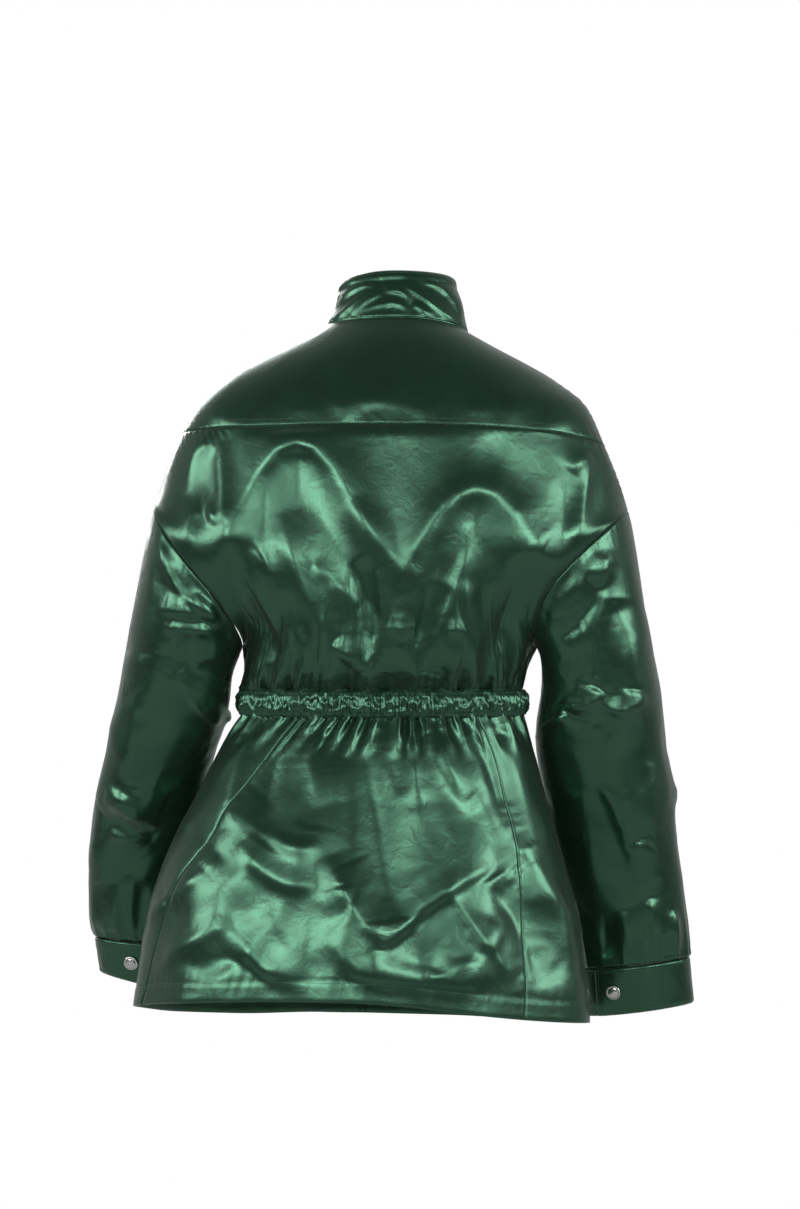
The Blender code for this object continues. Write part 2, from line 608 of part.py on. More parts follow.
def make_bodice_and_sleeves(finish):
    """Yoke, back, fronts and sleeves, which share their normals where they are sewn together."""
    v = bodice_rows(SHOULDER_ROWS, OVERARM_ROWS, ARMHOLE_ROWS, SIDE_ROWS)
    seam = int(np.argmin(np.abs(v - V_YOKE)))
    top = int(np.argmin(np.abs(v - V_TOP)))
    under = top + ARMHOLE_STEPS
    back = even_out(bodice_cloth(*np.meshgrid(np.linspace(-1, 1, BACK_COLUMNS), v), 1), v)
    front = even_out(bodice_cloth(*np.meshgrid(np.linspace(-1, 1, 2 * FRONT_COLUMNS - 1), v), -1), v)
    back_normal, front_normal = grid_normals(back), -grid_normals(front)
    joined = (v <= V_TOP) | (v >= V_UNDER)
    t, s = np.meshgrid(np.linspace(0, 2 * math.pi, 2 * ARMHOLE_STEPS, endpoint=False), SLEEVE_ROWS)
    for name, side, edge in (("sleeve_left", 1, -1), ("sleeve_right", -1, 0)):
        both = mate(back_normal[joined, edge], front_normal[joined, edge])
        back_normal[joined, edge], front_normal[joined, edge] = both
        cloth = sleeve_cloth(t, s, side)
        normal = -side * grid_normals(cloth, closed=True)
        arm = slice(top, under + 1)
        behind, before = back_normal[arm, edge], front_normal[arm, edge]
        ring = np.concatenate([behind, before[-2:0:-1]])
        ring, normal[0] = mate(ring, normal[0])
        back_normal[arm, edge] = ring[: ARMHOLE_STEPS + 1]
        front_normal[arm, edge] = np.concatenate([ring[:1], ring[: ARMHOLE_STEPS - 1 : -1]])
        normal[-1] = flat_ring_normals(cloth[-1])
        step = cloth[1] - cloth[0]
        cloth[0] += SEAM_GAP * step / np.linalg.norm(step, axis=-1, keepdims=True)
        add_panel(name, cloth, -side, CLOTH, finish, closed=True, normal=normal)
    gap = SEAM_GAP / 2
    yoke = draw_in(back[: seam + 1], bottom=gap, sides=gap)
    add_panel("back_yoke", yoke, 1, CLOTH, finish, normal=back_normal[: seam + 1])
    panel = draw_in(back[seam:], top=gap, sides=gap)
    add_panel("back_panel", panel, 1, CLOTH, finish, normal=back_normal[seam:])
    middle = FRONT_COLUMNS - 1
    for name, start, end in (("front_right", 0, middle + 1), ("front_left", middle, 2 * FRONT_COLUMNS)):
        cloth = draw_in(front[:, start:end], sides=gap)
        add_panel(name, cloth, -1, CLOTH, finish, normal=front_normal[:, start:end])


def cuff_form(turn, h, side):
    """A cuff's outer face. turn counts degrees from its under end, and past 360 it lies on itself."""
    t = np.radians(CUFF_START_DEG[side] + turn)
    base = ring_point(CUFF[side], t, h, "h")
    centre = (ring_point(CUFF[side], 0.0 * t, h, "h") + ring_point(CUFF[side], math.pi + 0.0 * t, h, "h")) / 2
    away = base - centre
    away = away / np.linalg.norm(away, axis=-1, keepdims=True)
    lift = (DOUBLE_CLOTH + 0.6) * ease(300, 357, turn)
    return base + away * lift[..., None]


def make_cuffs(finish):
    turn, level = np.meshgrid(np.linspace(0, 360 + CUFF_OVERLAP_DEG, 34), np.array([0.0, 0.5, 1.0]))
    for name, side in (("cuff_left", 1), ("cuff_right", -1)):
        face = cuff_form(turn, level, side)
        normal = -side * grid_normals(face)
        for row, level_at in ((0, 0.0), (-1, 1.0)):
            ends = ring_point(CUFF[side], np.array([0.0, math.pi]), np.full(2, level_at), "h")
            plane = np.cross(ends[1] - ends[0], [0, 1.0, 0])
            plane = plane / np.linalg.norm(plane)
            flat = normal[row] - (normal[row] @ plane)[:, None] * plane
            normal[row] = flat / np.linalg.norm(flat, axis=-1, keepdims=True)
        add_panel(name, face, -side, DOUBLE_CLOTH, finish, normal=normal)


def make_collar(finish):
    end = 2.2
    angle, level = np.meshgrid(np.linspace(-90 + end, 270 - end, 41), np.linspace(1, 0, 4))
    face = draw_in(collar_form(angle, level), bottom=0.6)
    add_panel("collar", face, -1, DOUBLE_CLOTH, finish)


def casing_form(angle, level):
    """The waist casing without gathers: a band that bulges between its two rows of stitching."""
    waist = skirt(angle, np.zeros_like(angle))
    a = np.radians(angle)
    outward = np.stack([np.cos(a), np.sin(a), 0 * a], axis=-1)
    bulge = CASING_BULGE * np.sqrt(np.clip(4 * level * (1 - level), 0, 1))
    top, bottom = WAIST_TOP_Z - SEAM_GAP, WAIST_BOTTOM_Z + SEAM_GAP
    points = waist + outward * (1.2 + bulge)[..., None]
    points[..., 2] = top + (bottom - top) * level
    return points


def make_casing(finish):
    end = 8.5
    columns = 2 * CASING_GATHERS + 1
    angle, level = np.meshgrid(np.linspace(-90 + end, 270 - end, columns), np.array([0.0, 0.5, 1.0]))
    outer = casing_form(angle, level)
    a = np.radians(angle)
    outward = np.stack([np.cos(a), np.sin(a), 0 * a], axis=-1)
    ridge = np.where(np.arange(columns) % 2 == 0, 1.0, -1.0) * CASING_GATHER_DEPTH
    outer = outer + outward * (ridge * np.array([[0.5], [1.0], [0.5]]))[..., None]
    plain = casing_form(angle[[0, -1]], np.array([[0.0], [1.0]]) + 0 * angle[[0, -1]])
    inner = plain - outward[[0, -1]] * (CLOTH + CASING_GATHER_DEPTH)
    add_wall("waist_casing", outer, inner, finish, -1)


def make_skirt(finish):
    """The skirt's back and sides, cut from one ring so that they meet with the same normals."""
    left = smooth(SKIRT_SEAMS, "left", SKIRT_ROWS, "s")[:, None]
    right = smooth(SKIRT_SEAMS, "right", SKIRT_ROWS, "s")[:, None]
    thickness = np.where(SKIRT_ROWS > 0.92, 2 * CLOTH, CLOTH)
    spans = (
        ("skirt_left", -90 + 0 * left, left, 28, 9),
        ("skirt_back", left, right, 43, 12),
        ("skirt_right", right, 270 + 0 * right, 27, 9),
    )
    angles, gather = [], []
    for name, start, end, columns, count in spans:
        share = np.linspace(0, 1, columns)[None, :]
        angles.append((start + (end - start) * share)[:, (1 if angles else 0):])
        gather.append(count * share[0, (1 if gather else 0):] + (gather[-1][-1] if gather else 0))
    whole = np.concatenate(angles, axis=1)
    gather = np.concatenate(gather) + 0 * whole
    cloth = skirt_cloth(whole, SKIRT_ROWS[:, None] + 0 * whole, gather)
    normal = -grid_normals(cloth)
    first = 0
    for name, _, _, columns, _ in spans:
        part = slice(first, first + columns)
        panel = draw_in(cloth[:, part], top=SEAM_GAP / 2, sides=SEAM_GAP / 2)
        add_panel(name, panel, -1, thickness, finish, normal=normal[:, part])
        first += columns - 1


def front_line(offset):
    """Places down the front, offset sideways from the centre: collar, bodice, waist and skirt."""
    places = []
    for h in np.linspace(1, 0, 5):
        ring = collar_form(np.array([[270.0, 269.0]]), np.full((1, 2), h))
        degree = np.linalg.norm(ring[0, 1] - ring[0, 0])
        places.append(collar_form(np.array([[270 + offset / degree]]), np.full((1, 1), h))[0, 0])
    for v in bodice_rows(SHOULDER_ROWS, OVERARM_ROWS, ARMHOLE_ROWS, SIDE_ROWS):
        if v < 0.1:
            continue
        pair = bodice(np.array([[0.0, 0.05]]), np.full((1, 2), v), -1)
        width = np.linalg.norm(pair[0, 1] - pair[0, 0])
        places.append(bodice(np.array([[0.05 * offset / width]]), np.full((1, 1), v), -1)[0, 0])
    for s in SKIRT_ROWS:
        width = (smooth(SKIRT, "left_x", s, "s") - smooth(SKIRT, "right_x", s, "s")) / 2
        places.append(skirt(np.array([[270 + math.degrees(offset / width)]]), np.full((1, 1), s))[0, 0])
    return np.array(places)


def placket_face():
    offsets = np.linspace(-PLACKET_WIDTH / 2, PLACKET_WIDTH / 2, 3)
    face = np.stack([front_line(offset) for offset in offsets], axis=1)
    normal = -grid_normals(face)
    return face + normal * PLACKET_LIFT, normal


def make_placket(finish):
    under, normal = placket_face()
    add_wall("placket", under + normal * DOUBLE_CLOTH, under, finish, -1)


def snap_profile():
    """Radius and height of a snap's turned outline, from its rim to its crown."""
    return ((SNAP_RADIUS, 0.0), (SNAP_RADIUS, 1.2), (SNAP_RADIUS * 0.7, 2.4))


def add_snap(name, place, normal, finish, sides=12):
    """A round press snap that stands on a place, along a normal."""
    normal = normal / np.linalg.norm(normal)
    first = np.cross(normal, [0, 0, 1.0])
    first = first / np.linalg.norm(first)
    second = np.cross(normal, first)
    points, faces = [], []
    for radius, height in snap_profile():
        for k in range(sides):
            a = 2 * math.pi * k / sides
            ring = radius * (math.cos(a) * first + math.sin(a) * second)
            points.append(place + normal * (height + SEAM_GAP) + ring)
    rings = len(snap_profile())
    for r in range(rings - 1):
        for k in range(sides):
            n = (k + 1) % sides
            faces.append((r * sides + k, r * sides + n, (r + 1) * sides + n, (r + 1) * sides + k))
    faces.append(tuple(reversed(range(sides))))
    faces.append(tuple(range((rings - 1) * sides, rings * sides)))
    return add_object(name, np.array(points), faces, finish)


def make_front_snaps(finish):
    under, normal = placket_face()
    middle = under[:, 1] + normal[:, 1] * DOUBLE_CLOTH
    length = np.concatenate([[0], np.cumsum(np.linalg.norm(np.diff(middle, axis=0), axis=1))])
    for k in range(SNAPS_UP_THE_FRONT):
        at = 24 + (length[-1] - 62) * k / (SNAPS_UP_THE_FRONT - 1)
        i = int(np.searchsorted(length, at)) - 1
        share = (at - length[i]) / (length[i + 1] - length[i])
        place = middle[i] + (middle[i + 1] - middle[i]) * share
        fall = middle[i + 1] - middle[i]
        out = np.cross(under[i, 2] - under[i, 0], fall)
        out = out if out[1] < 0 else -out
        add_snap(f"front_snap_{k + 1}", place, out, finish)


def make_cuff_snaps(finish):
    for name, side in (("cuff_snap_left", 1), ("cuff_snap_right", -1)):
        turn = np.array([[355 + CUFF_OVERLAP_DEG * 0.5, 360 + CUFF_OVERLAP_DEG * 0.5]])
        level = np.array([[0.5, 0.5], [0.6, 0.6]])
        near = cuff_form(np.repeat(turn, 2, axis=0), level, side)
        normal = -side * grid_normals(near)[0, 0]
        place = near[0].mean(axis=0)
        add_snap(name, place + 0.35 * normal, normal, finish)


def main():
    for old in list(bpy.data.objects):
        bpy.data.objects.remove(old)
    satin = material("green_satin", (0.025, 0.11, 0.06), 0.32, 0.6)
    metal = material("snap_metal", (0.62, 0.62, 0.6), 0.3, 1.0)
    make_bodice_and_sleeves(satin)
    make_cuffs(satin)
    make_collar(satin)
    make_casing(satin)
    make_skirt(satin)
    make_placket(satin)
    make_front_snaps(metal)
    make_cuff_snaps(metal)


main()
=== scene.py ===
"""Dressed satin jacket: fine cloth, seams, ruching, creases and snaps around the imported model.

The front faces -Y and the wearer's left is +X. Shapes are worked out in millimetres and made in metres.
The cloth's forms are the ones of the part's source, on finer grids and with more creases.
"""
import math

import bpy
import numpy as np
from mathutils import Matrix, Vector


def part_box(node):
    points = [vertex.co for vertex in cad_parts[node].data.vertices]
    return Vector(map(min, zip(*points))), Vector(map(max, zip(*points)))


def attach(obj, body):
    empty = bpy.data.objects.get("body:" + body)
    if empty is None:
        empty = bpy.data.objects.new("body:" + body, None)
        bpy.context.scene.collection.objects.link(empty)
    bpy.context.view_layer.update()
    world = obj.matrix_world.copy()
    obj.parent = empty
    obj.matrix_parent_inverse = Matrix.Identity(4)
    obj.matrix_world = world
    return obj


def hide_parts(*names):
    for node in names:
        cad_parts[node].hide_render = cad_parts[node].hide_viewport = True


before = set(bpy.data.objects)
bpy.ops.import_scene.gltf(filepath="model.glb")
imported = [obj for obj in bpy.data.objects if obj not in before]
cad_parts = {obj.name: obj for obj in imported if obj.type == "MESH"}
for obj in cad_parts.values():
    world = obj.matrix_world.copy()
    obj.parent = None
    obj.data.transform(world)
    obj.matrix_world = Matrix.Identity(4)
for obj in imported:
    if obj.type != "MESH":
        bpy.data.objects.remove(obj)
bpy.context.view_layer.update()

MM = 0.001

# Driving dimensions, in millimetres
CLOTH = 1.5
DOUBLE_CLOTH = 2.4
SEAM_GAP = 0.3
HEM_DEPTH = 21.0
WAIST_TOP_Z = -366.0
WAIST_BOTTOM_Z = -394.0
ARMHOLE_DEPTH = {1: 78.0, -1: 72.0}
PLACKET_WIDTH = 30.0
PLACKET_LIFT = 0.7
CUFF_OVERLAP_DEG = 38.0
CASING_GATHERS = 92
BACK_GATHERS = 12
FRONT_GATHERS = 9
CASING_BULGE = 5.0
CASING_GATHER_DEPTH = 1.5

# The dressed cloth's thickness, stitches and puffs, in millimetres
SHEET = 0.9
HEM_SHEET = 1.8
BAND_SHEET = 2.2
STITCH_PITCH = 3.2
STITCH_LENGTH = 2.4
STITCH_RADIUS = 0.3
CASING_COLUMNS = 1250
CASING_RIDGE = 4.4
CASING_SMALL_RIDGE = 1.4
CASING_UNEVEN = 2.6
CASING_SEAMS = (0.13, 0.87)
CUFF_PLEATS = 17
CUFF_PLEAT_DEPTH = 3.0
STITCH_GAPS_AT_YOKE = (2.2, 7.5)

# How high the creases stand, before the cloth settles and then added sharp after it
BODICE_SOFT, BODICE_SHARP = 1.2, 0.5
SLEEVE_SOFT, SLEEVE_SHARP = 1.9, 0.9
SKIRT_SOFT, SKIRT_SHARP = 1.3, 0.5
SLEEVE_RUFFLE = 3.8
ARCH_DROP = 7.5

# How much of the solids' own folds the cloth keeps, and how much wider they are
FOLD_SHARE = 0.35
FOLD_SPREAD = 1.3

# How the cloth settles: rounds, resistance to bending, pull back to the form, and the furthest move
SETTLE_ROUNDS = 90
SETTLE_BEND = 0.05
SETTLE_HOLD = 0.004
SETTLE_CAP = 10.0

# Colours, and how the satin shines
SATIN = (0.028, 0.100, 0.057)
THREAD = (0.02, 0.085, 0.045)
FLOOR = (0.42, 0.42, 0.42)
STEEL = (0.66, 0.66, 0.65)
SATIN_ROUGHNESS = 0.29
SATIN_LOOK = {"Metallic": 0.86, "Coat Weight": 0.4, "Coat Roughness": 0.32, "Sheen Weight": 0.05}

# The studio, in metres and watts
STUDIO_FAR = 0.4
STUDIO_DARK = 0.02
STUDIO_TOP = 0.085
LIGHTS = (
    # name, place, aim, width, height, watts
    ("softbox_left", (2.1, 2.5, 0.24), (0.0, 0.0, -0.35), 1.5, 0.62, 32),
    ("softbox_middle", (0.1, 3.3, 0.28), (0.0, 0.0, -0.35), 1.5, 0.66, 25),
    ("softbox_right", (-2.1, 2.5, 0.22), (0.0, 0.0, -0.35), 1.5, 0.6, 33),
    ("softbox_side_left", (3.1, 0.8, 0.4), (0.0, 0.0, -0.35), 1.5, 1.0, 34),
    ("softbox_side_right", (-3.1, 0.8, 0.3), (0.0, 0.0, -0.35), 1.5, 0.9, 32),
    ("softbox_front", (0.9, -2.9, 0.8), (0.0, 0.0, -0.35), 1.4, 1.6, 50),
)
CAMERA_DISTANCE = 4.0
CAMERA_X, CAMERA_Z = -0.008, -0.2825
PHOTO_HEIGHT = 1.209
FLOOR_Z = -1.42
FLOOR_RADIUS = 2.5

# A press snap's outline: radius and height
SNAP_PROFILE = (
    (7.0, 0.0), (7.4, 0.25), (7.5, 0.7), (7.3, 1.15), (6.8, 1.4), (6.2, 1.35), (5.8, 1.1),
    (5.4, 1.15), (4.8, 1.6), (3.8, 2.0), (2.4, 2.25), (1.0, 2.36), (0.0, 2.4),
)

# A turn that keeps the noise's own grid from lining up with the cloth
TURN = np.array([[0.36, 0.48, -0.8], [-0.8, 0.6, 0.0], [0.48, 0.64, 0.6]])

# Where the rows of the bodice fall: neck, yoke seam, armhole top, underarm and waist
V_NECK, V_YOKE, V_TOP, V_UNDER, V_WAIST = 0.0, 1.0, 1.5, 3.0, 3.6
ARMHOLE_STEPS = 10
SHOULDER_ROWS = (V_NECK, V_YOKE, 5)
OVERARM_ROWS = (V_YOKE, V_TOP, 2)
ARMHOLE_ROWS = (V_TOP, V_UNDER, ARMHOLE_STEPS)
SIDE_ROWS = (V_UNDER, V_WAIST, 3)
SKIRT_ROWS = np.array([0.0, 0.055, 0.13, 0.23, 0.33, 0.44, 0.56, 0.68, 0.8, 0.93, 1.0])


def rows(names, *lines):
    """A table with named columns, kept as a dict from each name to the values down its column."""
    return dict(zip(names.split(), np.array(lines, float).T))


def folds(*lines):
    """A table of folds, each a curve through three places (x, z) with its half width and height."""
    return rows("x1 z1 x2 z2 x3 z3 width height", *lines)


SHOULDER = rows(
    "v left_x left_z right_x right_z y",
    (0.00, 67, -5, -76, -14, -4),
    (0.20, 95, -19, -106, -29, 0),
    (0.40, 130, -36, -138, -45, 4),
    (0.60, 161, -54, -166, -62, 8),
    (0.80, 188, -78, -194, -86, 12),
    (1.00, 208, -112, -213, -128, 14),
    (1.25, 223, -146, -226, -159, 10),
    (1.50, 235, -178, -236, -188, 0),
)
SIDE_SEAM = rows(
    "v left_x left_z right_x right_z y",
    (3.00, 150, -325, -146, -325, 0),
    (3.25, 148, -343, -137, -343, -1),
    (3.60, 150, -366, -130, -366, -3),
)
BODICE_CENTRE = rows(
    "v x back_y back_z front_y front_z turn z_bend",
    (0.000, -4, 55, 0, -60, -52, 90, 1.0),
    (0.200, -4, 74, -20, -78, -70, 90, 1.1),
    (0.400, -3, 89, -41, -92, -88, 90, 1.3),
    (0.600, -2, 101, -64, -104, -106, 90, 1.4),
    (0.800, -1, 109, -86, -113, -126, 90, 1.2),
    (1.000, 0, 115, -107, -121, -146, 88, 1.0),
    (1.250, 1, 121, -136, -127, -168, 84, 1.0),
    (1.500, 2, 126, -166, -132, -190, 78, 1.0),
    (1.875, 3, 130, -205, -135, -222, 68, 1.0),
    (2.250, 5, 133, -243, -135, -253, 66, 1.0),
    (2.625, 7, 134, -281, -133, -285, 72, 1.0),
    (3.000, 8, 132, -317, -129, -317, 84, 1.0),
    (3.250, 9, 125, -341, -122, -341, 88, 1.0),
    (3.430, 10, 111, -355, -113, -356, 90, 1.0),
    (3.600, 10, 94, -366, -103, -366, 90, 1.0),
)
COLLAR = rows(
    "h left_x left_z right_x right_z side_y back_y back_z front_y front_z",
    (0.0, 67.5, -4, -76.5, -13, -4, 55.5, 1, -60.5, -51),
    (0.4, 59, 14, -71, 11, -6, 50, 20, -64, -26),
    (0.7, 56, 25, -67, 28, -8, 46, 35, -63, -8),
    (1.0, 53, 36, -62, 44, -9, 41, 49, -60, 9),
)
SKIRT = rows(
    "s left_x right_x back_y front_y",
    (0.000, 150, -130, 92, -102),
    (0.055, 161, -136, 100, -107),
    (0.150, 177, -144, 110, -114),
    (0.250, 192, -152, 119, -120),
    (0.350, 208, -162, 127, -125),
    (0.450, 221, -170, 134, -128),
    (0.580, 235, -179, 141, -130),
    (0.720, 244, -188, 147, -131),
    (0.860, 250, -195, 152, -132),
    (1.000, 256, -199, 156, -133),
)
HEM_Z = rows(
    "angle z",
    (-90, -704),
    (-45, -700),
    (0, -684),
    (45, -670),
    (70, -666),
    (90, -666),
    (110, -675),
    (135, -687),
    (180, -700),
    (225, -706),
    (270, -704),
)
SKIRT_SEAMS = rows(
    "s left right",
    (0.00, 54, 133),
    (0.15, 47, 139),
    (0.30, 41, 140),
    (0.45, 36, 139.5),
    (0.60, 28, 138.5),
    (0.80, 20, 136.5),
    (1.00, 15, 134.5),
)
SLEEVE = {
    1: rows(
        "s out_x out_z in_x in_z y depth",
        (0.0, 235, -178, 150, -325, 0, 78),
        (0.7, 244, -216, 155, -338, -2, 74),
        (1.5, 254, -264, 159, -354, -6, 69),
        (2.5, 265, -318, 162, -375, -14, 64),
        (3.5, 275, -366, 168, -400, -28, 60),
        (4.5, 286, -414, 178, -430, -46, 55),
        (5.5, 298, -462, 187, -470, -68, 50),
        (6.5, 308, -512, 196, -516, -90, 46),
        (7.5, 312, -563, 204, -565, -109, 42),
        (8.5, 310, -606, 207, -609, -122, 39),
        (9.0, 307, -625, 209, -633, -129, 37),
    ),
    -1: rows(
        "s out_x out_z in_x in_z y depth",
        (0.0, -236, -188, -146, -325, 0, 78),
        (0.7, -243, -227, -149, -339, -2, 74),
        (1.5, -251, -274, -149, -356, -6, 70),
        (2.5, -260, -326, -147, -378, -13, 66),
        (3.5, -268, -376, -145, -404, -22, 62),
        (4.5, -275, -425, -147, -438, -34, 59),
        (5.5, -284, -478, -155, -484, -49, 55),
        (6.5, -291, -530, -166, -536, -62, 51),
        (7.5, -298, -581, -179, -587, -73, 47),
        (8.5, -303, -624, -190, -635, -81, 43),
        (9.0, -304, -641, -193, -654, -84, 41),
    ),
}
CUFF = {
    1: rows(
        "h out_x out_z in_x in_z y depth",
        (0.0, 307, -625.5, 209, -633.5, -129, 37),
        (1.0, 303, -662, 209, -684, -142, 36),
    ),
    -1: rows(
        "h out_x out_z in_x in_z y depth",
        (0.0, -304, -641.5, -193, -654.5, -84, 41),
        (1.0, -309, -689, -197, -703, -95, 40),
    ),
}
CUFF_START_DEG = {1: 62.0, -1: 100.0}

# How far each armhole seam leaves its plane, down and out where above 0, against the angle round it
ARMHOLE_BOW = rows(
    "angle left right",
    (0, 0, 0),
    (36, 7, -5),
    (54, 8, -10),
    (72, 5, -16),
    (90, 1, -21),
    (108, -3, -24),
    (126, -5, -22),
    (144, -6, -15),
    (162, -4, -7),
    (180, 0, 0),
)

# The solids' own folds, as seen from behind. A height below 0 is a trough
BODICE_BACK_FOLDS = folds(
    (89, -132, 45, -171, 16, -246, 13, 7),
    (89, -132, 113, -152, 126, -195, 12, 5),
    (155, -223, 126, -278, 91, -344, 11, -9),
    (168, -200, 146, -262, 116, -318, 10, 5),
    (-18, -236, -47, -201, -81, -178, 12, 6),
    (-81, -178, -110, -210, -144, -233, 11, 6),
    (-89, -118, -97, -162, -134, -225, 13, -7),
    (26, -239, 20, -284, 4, -350, 9, -7),
    (108, -275, 88, -306, 58, -352, 9, -7),
    (-56, -268, -41, -313, -27, -350, 9, -7),
    (-106, -268, -94, -301, -86, -350, 9, -7),
    (60, -262, 48, -300, 40, -345, 10, 5),
    (-74, -262, -66, -300, -58, -345, 10, 5),
    (12, -301, -10, -307, -34, -304, 8, 5),
)
BODICE_FRONT_FOLDS = folds(
    (185, -160, 150, -210, 105, -262, 12, 6),
    (-187, -165, -152, -214, -108, -258, 12, 6),
    (160, -238, 128, -285, 100, -348, 11, -8),
    (-158, -236, -124, -282, -98, -348, 11, -8),
    (70, -240, 62, -292, 50, -348, 10, -6),
    (-66, -232, -60, -288, -46, -348, 10, -6),
    (96, -296, 84, -318, 78, -348, 9, 5),
    (-90, -292, -80, -316, -74, -348, 9, 5),
)
SKIRT_BACK_FOLDS = folds(
    (19, -403, 15, -501, 4, -590, 16, -10),
    (-47, -403, -68, -472, -100, -548, 14, -11),
    (40, -532, 24, -566, 6, -612, 13, 5),
    (55, -557, 26, -618, -37, -647, 12, 7),
    (-37, -647, -71, -645, -105, -627, 11, 5),
    (204, -580, 160, -554, 126, -513, 12, 7),
    (181, -540, 152, -499, 128, -470, 10, 5),
    (-42, -405, -61, -438, -82, -466, 10, 6),
    (-125, -541, -144, -567, -165, -569, 11, 6),
    (65, -403, 68, -443, 76, -500, 12, -7),
    (89, -403, 104, -453, 128, -500, 11, -7),
    (-105, -403, -122, -460, -138, -520, 12, -6),
)
SKIRT_FRONT_FOLDS = folds(
    (60, -403, 72, -480, 92, -585, 14, -10),
    (-42, -403, -58, -482, -72, -580, 14, -10),
    (104, -403, 128, -470, 150, -560, 13, -8),
    (-88, -403, -104, -468, -120, -548, 12, -8),
    (82, -560, 112, -622, 164, -640, 12, 6),
    (-60, -570, -88, -626, -132, -636, 12, 6),
)
SLEEVE_BACK_FOLDS = {
    1: folds(
        (228, -214, 236, -262, 239, -330, 9, 5),
        (220, -276, 196, -282, 172, -290, 9, 6),
        (216, -305, 190, -310, 162, -312, 9, 6),
        (214, -322, 190, -345, 160, -336, 9, -6),
        (214, -350, 190, -372, 166, -358, 10, 6),
        (296, -488, 264, -478, 233, -489, 12, 7),
        (295, -505, 262, -508, 240, -520, 11, -6),
        (297, -565, 292, -590, 286, -612, 9, -5),
    ),
    -1: folds(
        (-152, -292, -181, -267, -210, -238, 10, 7),
        (-162, -305, -195, -276, -211, -240, 9, -6),
        (-230, -278, -222, -333, -195, -401, 12, -8),
        (-162, -395, -184, -408, -206, -368, 10, 7),
        (-195, -408, -220, -418, -238, -368, 10, 7),
        (-203, -436, -236, -470, -258, -560, 11, 6),
        (-258, -560, -261, -600, -263, -634, 9, -7),
        (-243, -520, -252, -526, -262, -524, 9, 5),
    ),
}
SLEEVE_FRONT_FOLDS = {
    1: folds(
        (226, -220, 238, -280, 244, -350, 11, 6),
        (200, -300, 178, -318, 160, -334, 10, 6),
        (214, -340, 190, -366, 168, -372, 10, -6),
        (292, -470, 256, -488, 214, -484, 12, -7),
        (290, -500, 258, -512, 216, -506, 11, 6),
        (240, -540, 236, -580, 232, -615, 10, 5),
    ),
    -1: folds(
        (-228, -230, -240, -290, -246, -360, 11, 6),
        (-204, -305, -176, -324, -156, -342, 10, 6),
        (-212, -352, -184, -376, -160, -384, 10, -6),
        (-268, -470, -230, -490, -180, -486, 12, -7),
        (-272, -506, -232, -520, -184, -512, 11, 6),
        (-226, -560, -222, -600, -220, -634, 10, 5),
    ),
}

# The swell below the yoke seam, then the dressed cloth's creases, which have a sharp crest
YOKE_SWELL = folds((88, -112, 4, -104, -96, -112, 20, 3.6))

# The line that the two arches make, below which the back's cloth drops inwards
ARCH_LINE = rows(
    "x z",
    (-170, -262),
    (-120, -203),
    (-80, -172),
    (-46, -204),
    (-22, -266),
    (12, -240),
    (42, -186),
    (70, -140),
    (92, -126),
    (125, -156),
    (150, -206),
    (172, -242),
)

BACK_CREASES = folds(
    (170, -240, 92, -124, 14, -234, 10, 5.4),
    (40, -182, 10, -222, -22, -264, 8, 3.4),
    (-6, -268, -80, -170, -158, -256, 10, 5.2),
    (-96, -116, -112, -150, -122, -192, 10, -2.0),
    (-197, -135, -182, -144, -173, -152, 6, 3.0),
    (-197, -135, -186, -183, -184, -221, 6, 3.4),
    (-166, -160, -170, -200, -160, -236, 8, -3.0),
    (168, -122, 164, -168, 160, -221, 6, 3.2),
    (202, -229, 196, -198, 183, -194, 5, 2.8),
    (183, -194, 174, -196, 170, -206, 5, 2.6),
    (201, -175, 191, -133, 172, -129, 6, 3.0),
    (162, -221, 149, -271, 111, -335, 8, -4.5),
    (138, -228, 128, -280, 92, -336, 7, 3.4),
    (130, -218, 104, -292, 66, -344, 6, 2.2),
    (108, -192, 84, -272, 42, -342, 9, 3.2),
    (76, -244, 54, -262, 30, -284, 8, 2.2),
    (57, -321, 44, -334, 28, -350, 5, 2.4),
    (34, -240, 22, -296, 22, -352, 9, -3.2),
    (14, -238, 8, -300, 4, -354, 7, 2.0),
    (6, -306, -9, -308, -26, -305, 4, 1.6),
    (-54, -307, -62, -308, -71, -306, 4, 1.4),
    (-80, -204, -62, -270, -31, -348, 8, 2.4),
    (-72, -232, -72, -300, -58, -352, 6, 2.0),
    (-34, -262, -36, -310, -30, -352, 8, -2.8),
    (-114, -222, -94, -290, -77, -350, 9, 2.8),
    (-128, -250, -112, -306, -98, -352, 8, -3.0),
    (-150, -252, -140, -306, -122, -352, 7, 3.0),
    (-168, -280, -158, -320, -140, -354, 6, -2.4),
)
YOKE_CREASES = folds(
    (190, -88, 170, -98, 138, -103, 7, 2.4),
    (-186, -96, -160, -106, -132, -106, 8, 2.2),
    (-110, -70, -120, -88, -112, -104, 8, 2.6),
    (-22, -74, -34, -92, -24, -104, 7, 2.2),
    (72, -74, 48, -92, 38, -103, 8, 2.6),
    (58, -92, 14, -84, -34, -96, 9, 3.0),
    (98, -99, 84, -92, 60, -97, 6, 1.8),
    (-60, -98, -84, -92, -100, -98, 6, 1.8),
)
